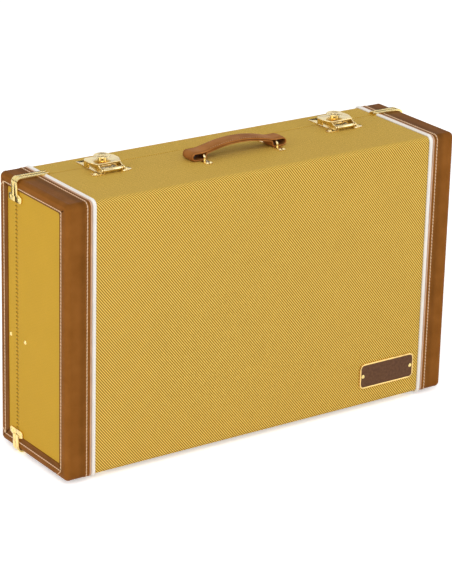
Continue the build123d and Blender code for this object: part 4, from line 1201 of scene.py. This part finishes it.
def studio_piece(name, points, material):
    """Stage surface from a grid of points."""
    flat, quads, _, _ = patch(points)
    mesh = bpy.data.meshes.new(name)
    mesh.from_pydata(flat.tolist(), [], quads.tolist())
    mesh.shade_smooth()
    mesh.materials.append(material)
    return added(name, mesh)


def camera_and_mirror_rays(tree):
    """1 for rays from the camera, off a mirror or through glass, 0 for the rest."""
    path = node(tree, "ShaderNodeLightPath").outputs
    seen = maths(tree, "MAXIMUM", path["Is Camera Ray"], path["Is Glossy Ray"])
    return maths(tree, "MAXIMUM", seen, path["Is Transmission Ray"])


def white_world(world):
    """White for the camera and for reflections, a plain dim light for the rest."""
    world.use_nodes = True
    tree = world.node_tree
    strength = ranged(tree, camera_and_mirror_rays(tree), 0.0, 1.0, 0.45, 1.0)
    feed(tree, tree.nodes["Background"], {"Color": (1, 1, 1, 1), "Strength": strength})


def paper_material(colour):
    """White background paper: matt, lit to plain white for the camera, and keeping the object's shadow."""
    made, tree = new_material("Background paper")
    glow = ranged(tree, camera_and_mirror_rays(tree), 0.0, 1.0, 0.0, 0.5)
    return finished(made, {
        "Base Color": colour, "Roughness": 1.0, "Specular IOR Level": 0.0, "Emission Color": (1, 1, 1, 1),
        "Emission Strength": glow,
    })


def aim(made, place):
    """Stands an object at a place and turns it to the case."""
    made.location = place
    made.rotation_euler = (AIM - Vector(place)).to_track_quat("-Z", "Y").to_euler()
    return made


def dark_card(name, place, size):
    """Dark brown card that only mirrors see, so that the gilt has something dark to reflect.
    One lies on the floor."""
    x, y = size[0] / 2, size[1] / 2
    brown = finished(new_material(f"Dark card, {name}")[0], {
        "Base Color": linear("453518"), "Roughness": 1.0, "Specular IOR Level": 0.0,
    })
    made = studio_piece(name, np.array([[(-x, -y, 0), (x, -y, 0)], [(-x, y, 0), (x, y, 0)]]), brown)
    if place[2] > 0.01:
        aim(made, place)
    made.location = place
    for rays in ("camera", "diffuse", "shadow", "transmission"):
        setattr(made, f"visible_{rays}", False)
    return made


def area_lamp(name, place, size, power):
    """Square soft lamp aimed at the case."""
    data = bpy.data.lights.new(name, "AREA")
    data.size = size
    data.energy = power
    return aim(added(name, data), place)


def studio_camera(settings):
    """Camera at its place, turned by azimuth, elevation and roll."""
    data = bpy.data.cameras.new("studio_camera")
    data.lens = settings.lens
    data.sensor_width = 36
    data.clip_end = 100
    sine, cosine = math.sin(settings.azimuth), math.cos(settings.azimuth)
    up_sine, up_cosine = math.sin(settings.elevation), math.cos(settings.elevation)
    back = Vector((sine * up_cosine, -cosine * up_cosine, up_sine))
    right = (-back).cross(Vector((0, 0, 1))).normalized()
    up = right.cross(-back)
    c, s = math.cos(settings.roll), math.sin(settings.roll)
    turned = Matrix((c * right + s * up, -s * right + c * up, back)).transposed()
    made = added("studio_camera", data)
    made.matrix_world = Matrix.Translation(Vector(settings.position)) @ turned.to_4x4()
    return made


class PEDALCASE_OT_stage(bpy.types.Operator):
    """Lay the floor and backdrop, hang the lamps and set up the camera"""

    bl_idname = "pedal_case.stage"
    bl_label = "Stage"

    def execute(self, context):
        settings = context.scene.pedal_stage
        profile = rounded_line([(-30.0, GROUND_Z), (12.0, GROUND_Z), (12.0, 18.0)], (3.0,), 24)
        _, place, _ = refined(profile, 1.0)
        points = np.stack([np.insert(place, 0, x, axis=1) for x in (-30.0, 30.0)], 1)
        floor = studio_piece("studio_floor", points, paper_material(settings.floor))
        world = context.scene.world or bpy.data.worlds.new("studio")
        context.scene.world = world
        white_world(world)
        cards = [dark_card(name, *shape) for name, shape in CARDS.items()]
        lamps = [
            area_lamp("key_lamp", (-1.6, -2.6, 3.4), 2.6, settings.key_power),
            area_lamp("fill_lamp", (2.8, -2.2, 1.8), 2.2, settings.fill_power),
            area_lamp("left_lamp", (-3.4, 0.6, 1.5), 2.0, settings.fill_power),
        ]
        camera = studio_camera(settings)
        context.scene.camera = camera
        context.scene.view_settings.view_transform = "Standard"
        return {"FINISHED"}


STEPS = (
    PEDALCASE_OT_cloth, PEDALCASE_OT_ends, PEDALCASE_OT_handle, PEDALCASE_OT_badge, PEDALCASE_OT_hardware,
    PEDALCASE_OT_boards, PEDALCASE_OT_lining, PEDALCASE_OT_stage,
)


class PEDALCASE_PT_sidebar(bpy.types.Panel):
    """Steps that build the pedal case, with its sizes and colours"""

    bl_idname = "PEDALCASE_PT_sidebar"
    bl_label = "Pedal Case"
    bl_space_type = "VIEW_3D"
    bl_region_type = "UI"
    bl_category = "Pedal Case"

    def draw(self, context):
        for step in STEPS:
            self.layout.operator(step.bl_idname)
        for attribute, group in SETTINGS.items():
            box = self.layout.box()
            for setting in group.__annotations__:
                box.prop(getattr(context.scene, attribute), setting)


def register():
    for made in (*SETTINGS.values(), *STEPS, PEDALCASE_PT_sidebar):
        bpy.utils.register_class(made)
    for attribute, group in SETTINGS.items():
        setattr(bpy.types.Scene, attribute, PointerProperty(type=group))


def unregister():
    for attribute in SETTINGS:
        delattr(bpy.types.Scene, attribute)
    for made in (PEDALCASE_PT_sidebar, *reversed(STEPS), *reversed(SETTINGS.values())):
        bpy.utils.unregister_class(made)


def main():
    register()
    for step in STEPS:
        group, call = step.bl_idname.split(".")
        getattr(getattr(bpy.ops, group), call)()


if __name__ == "__main__":
    main()
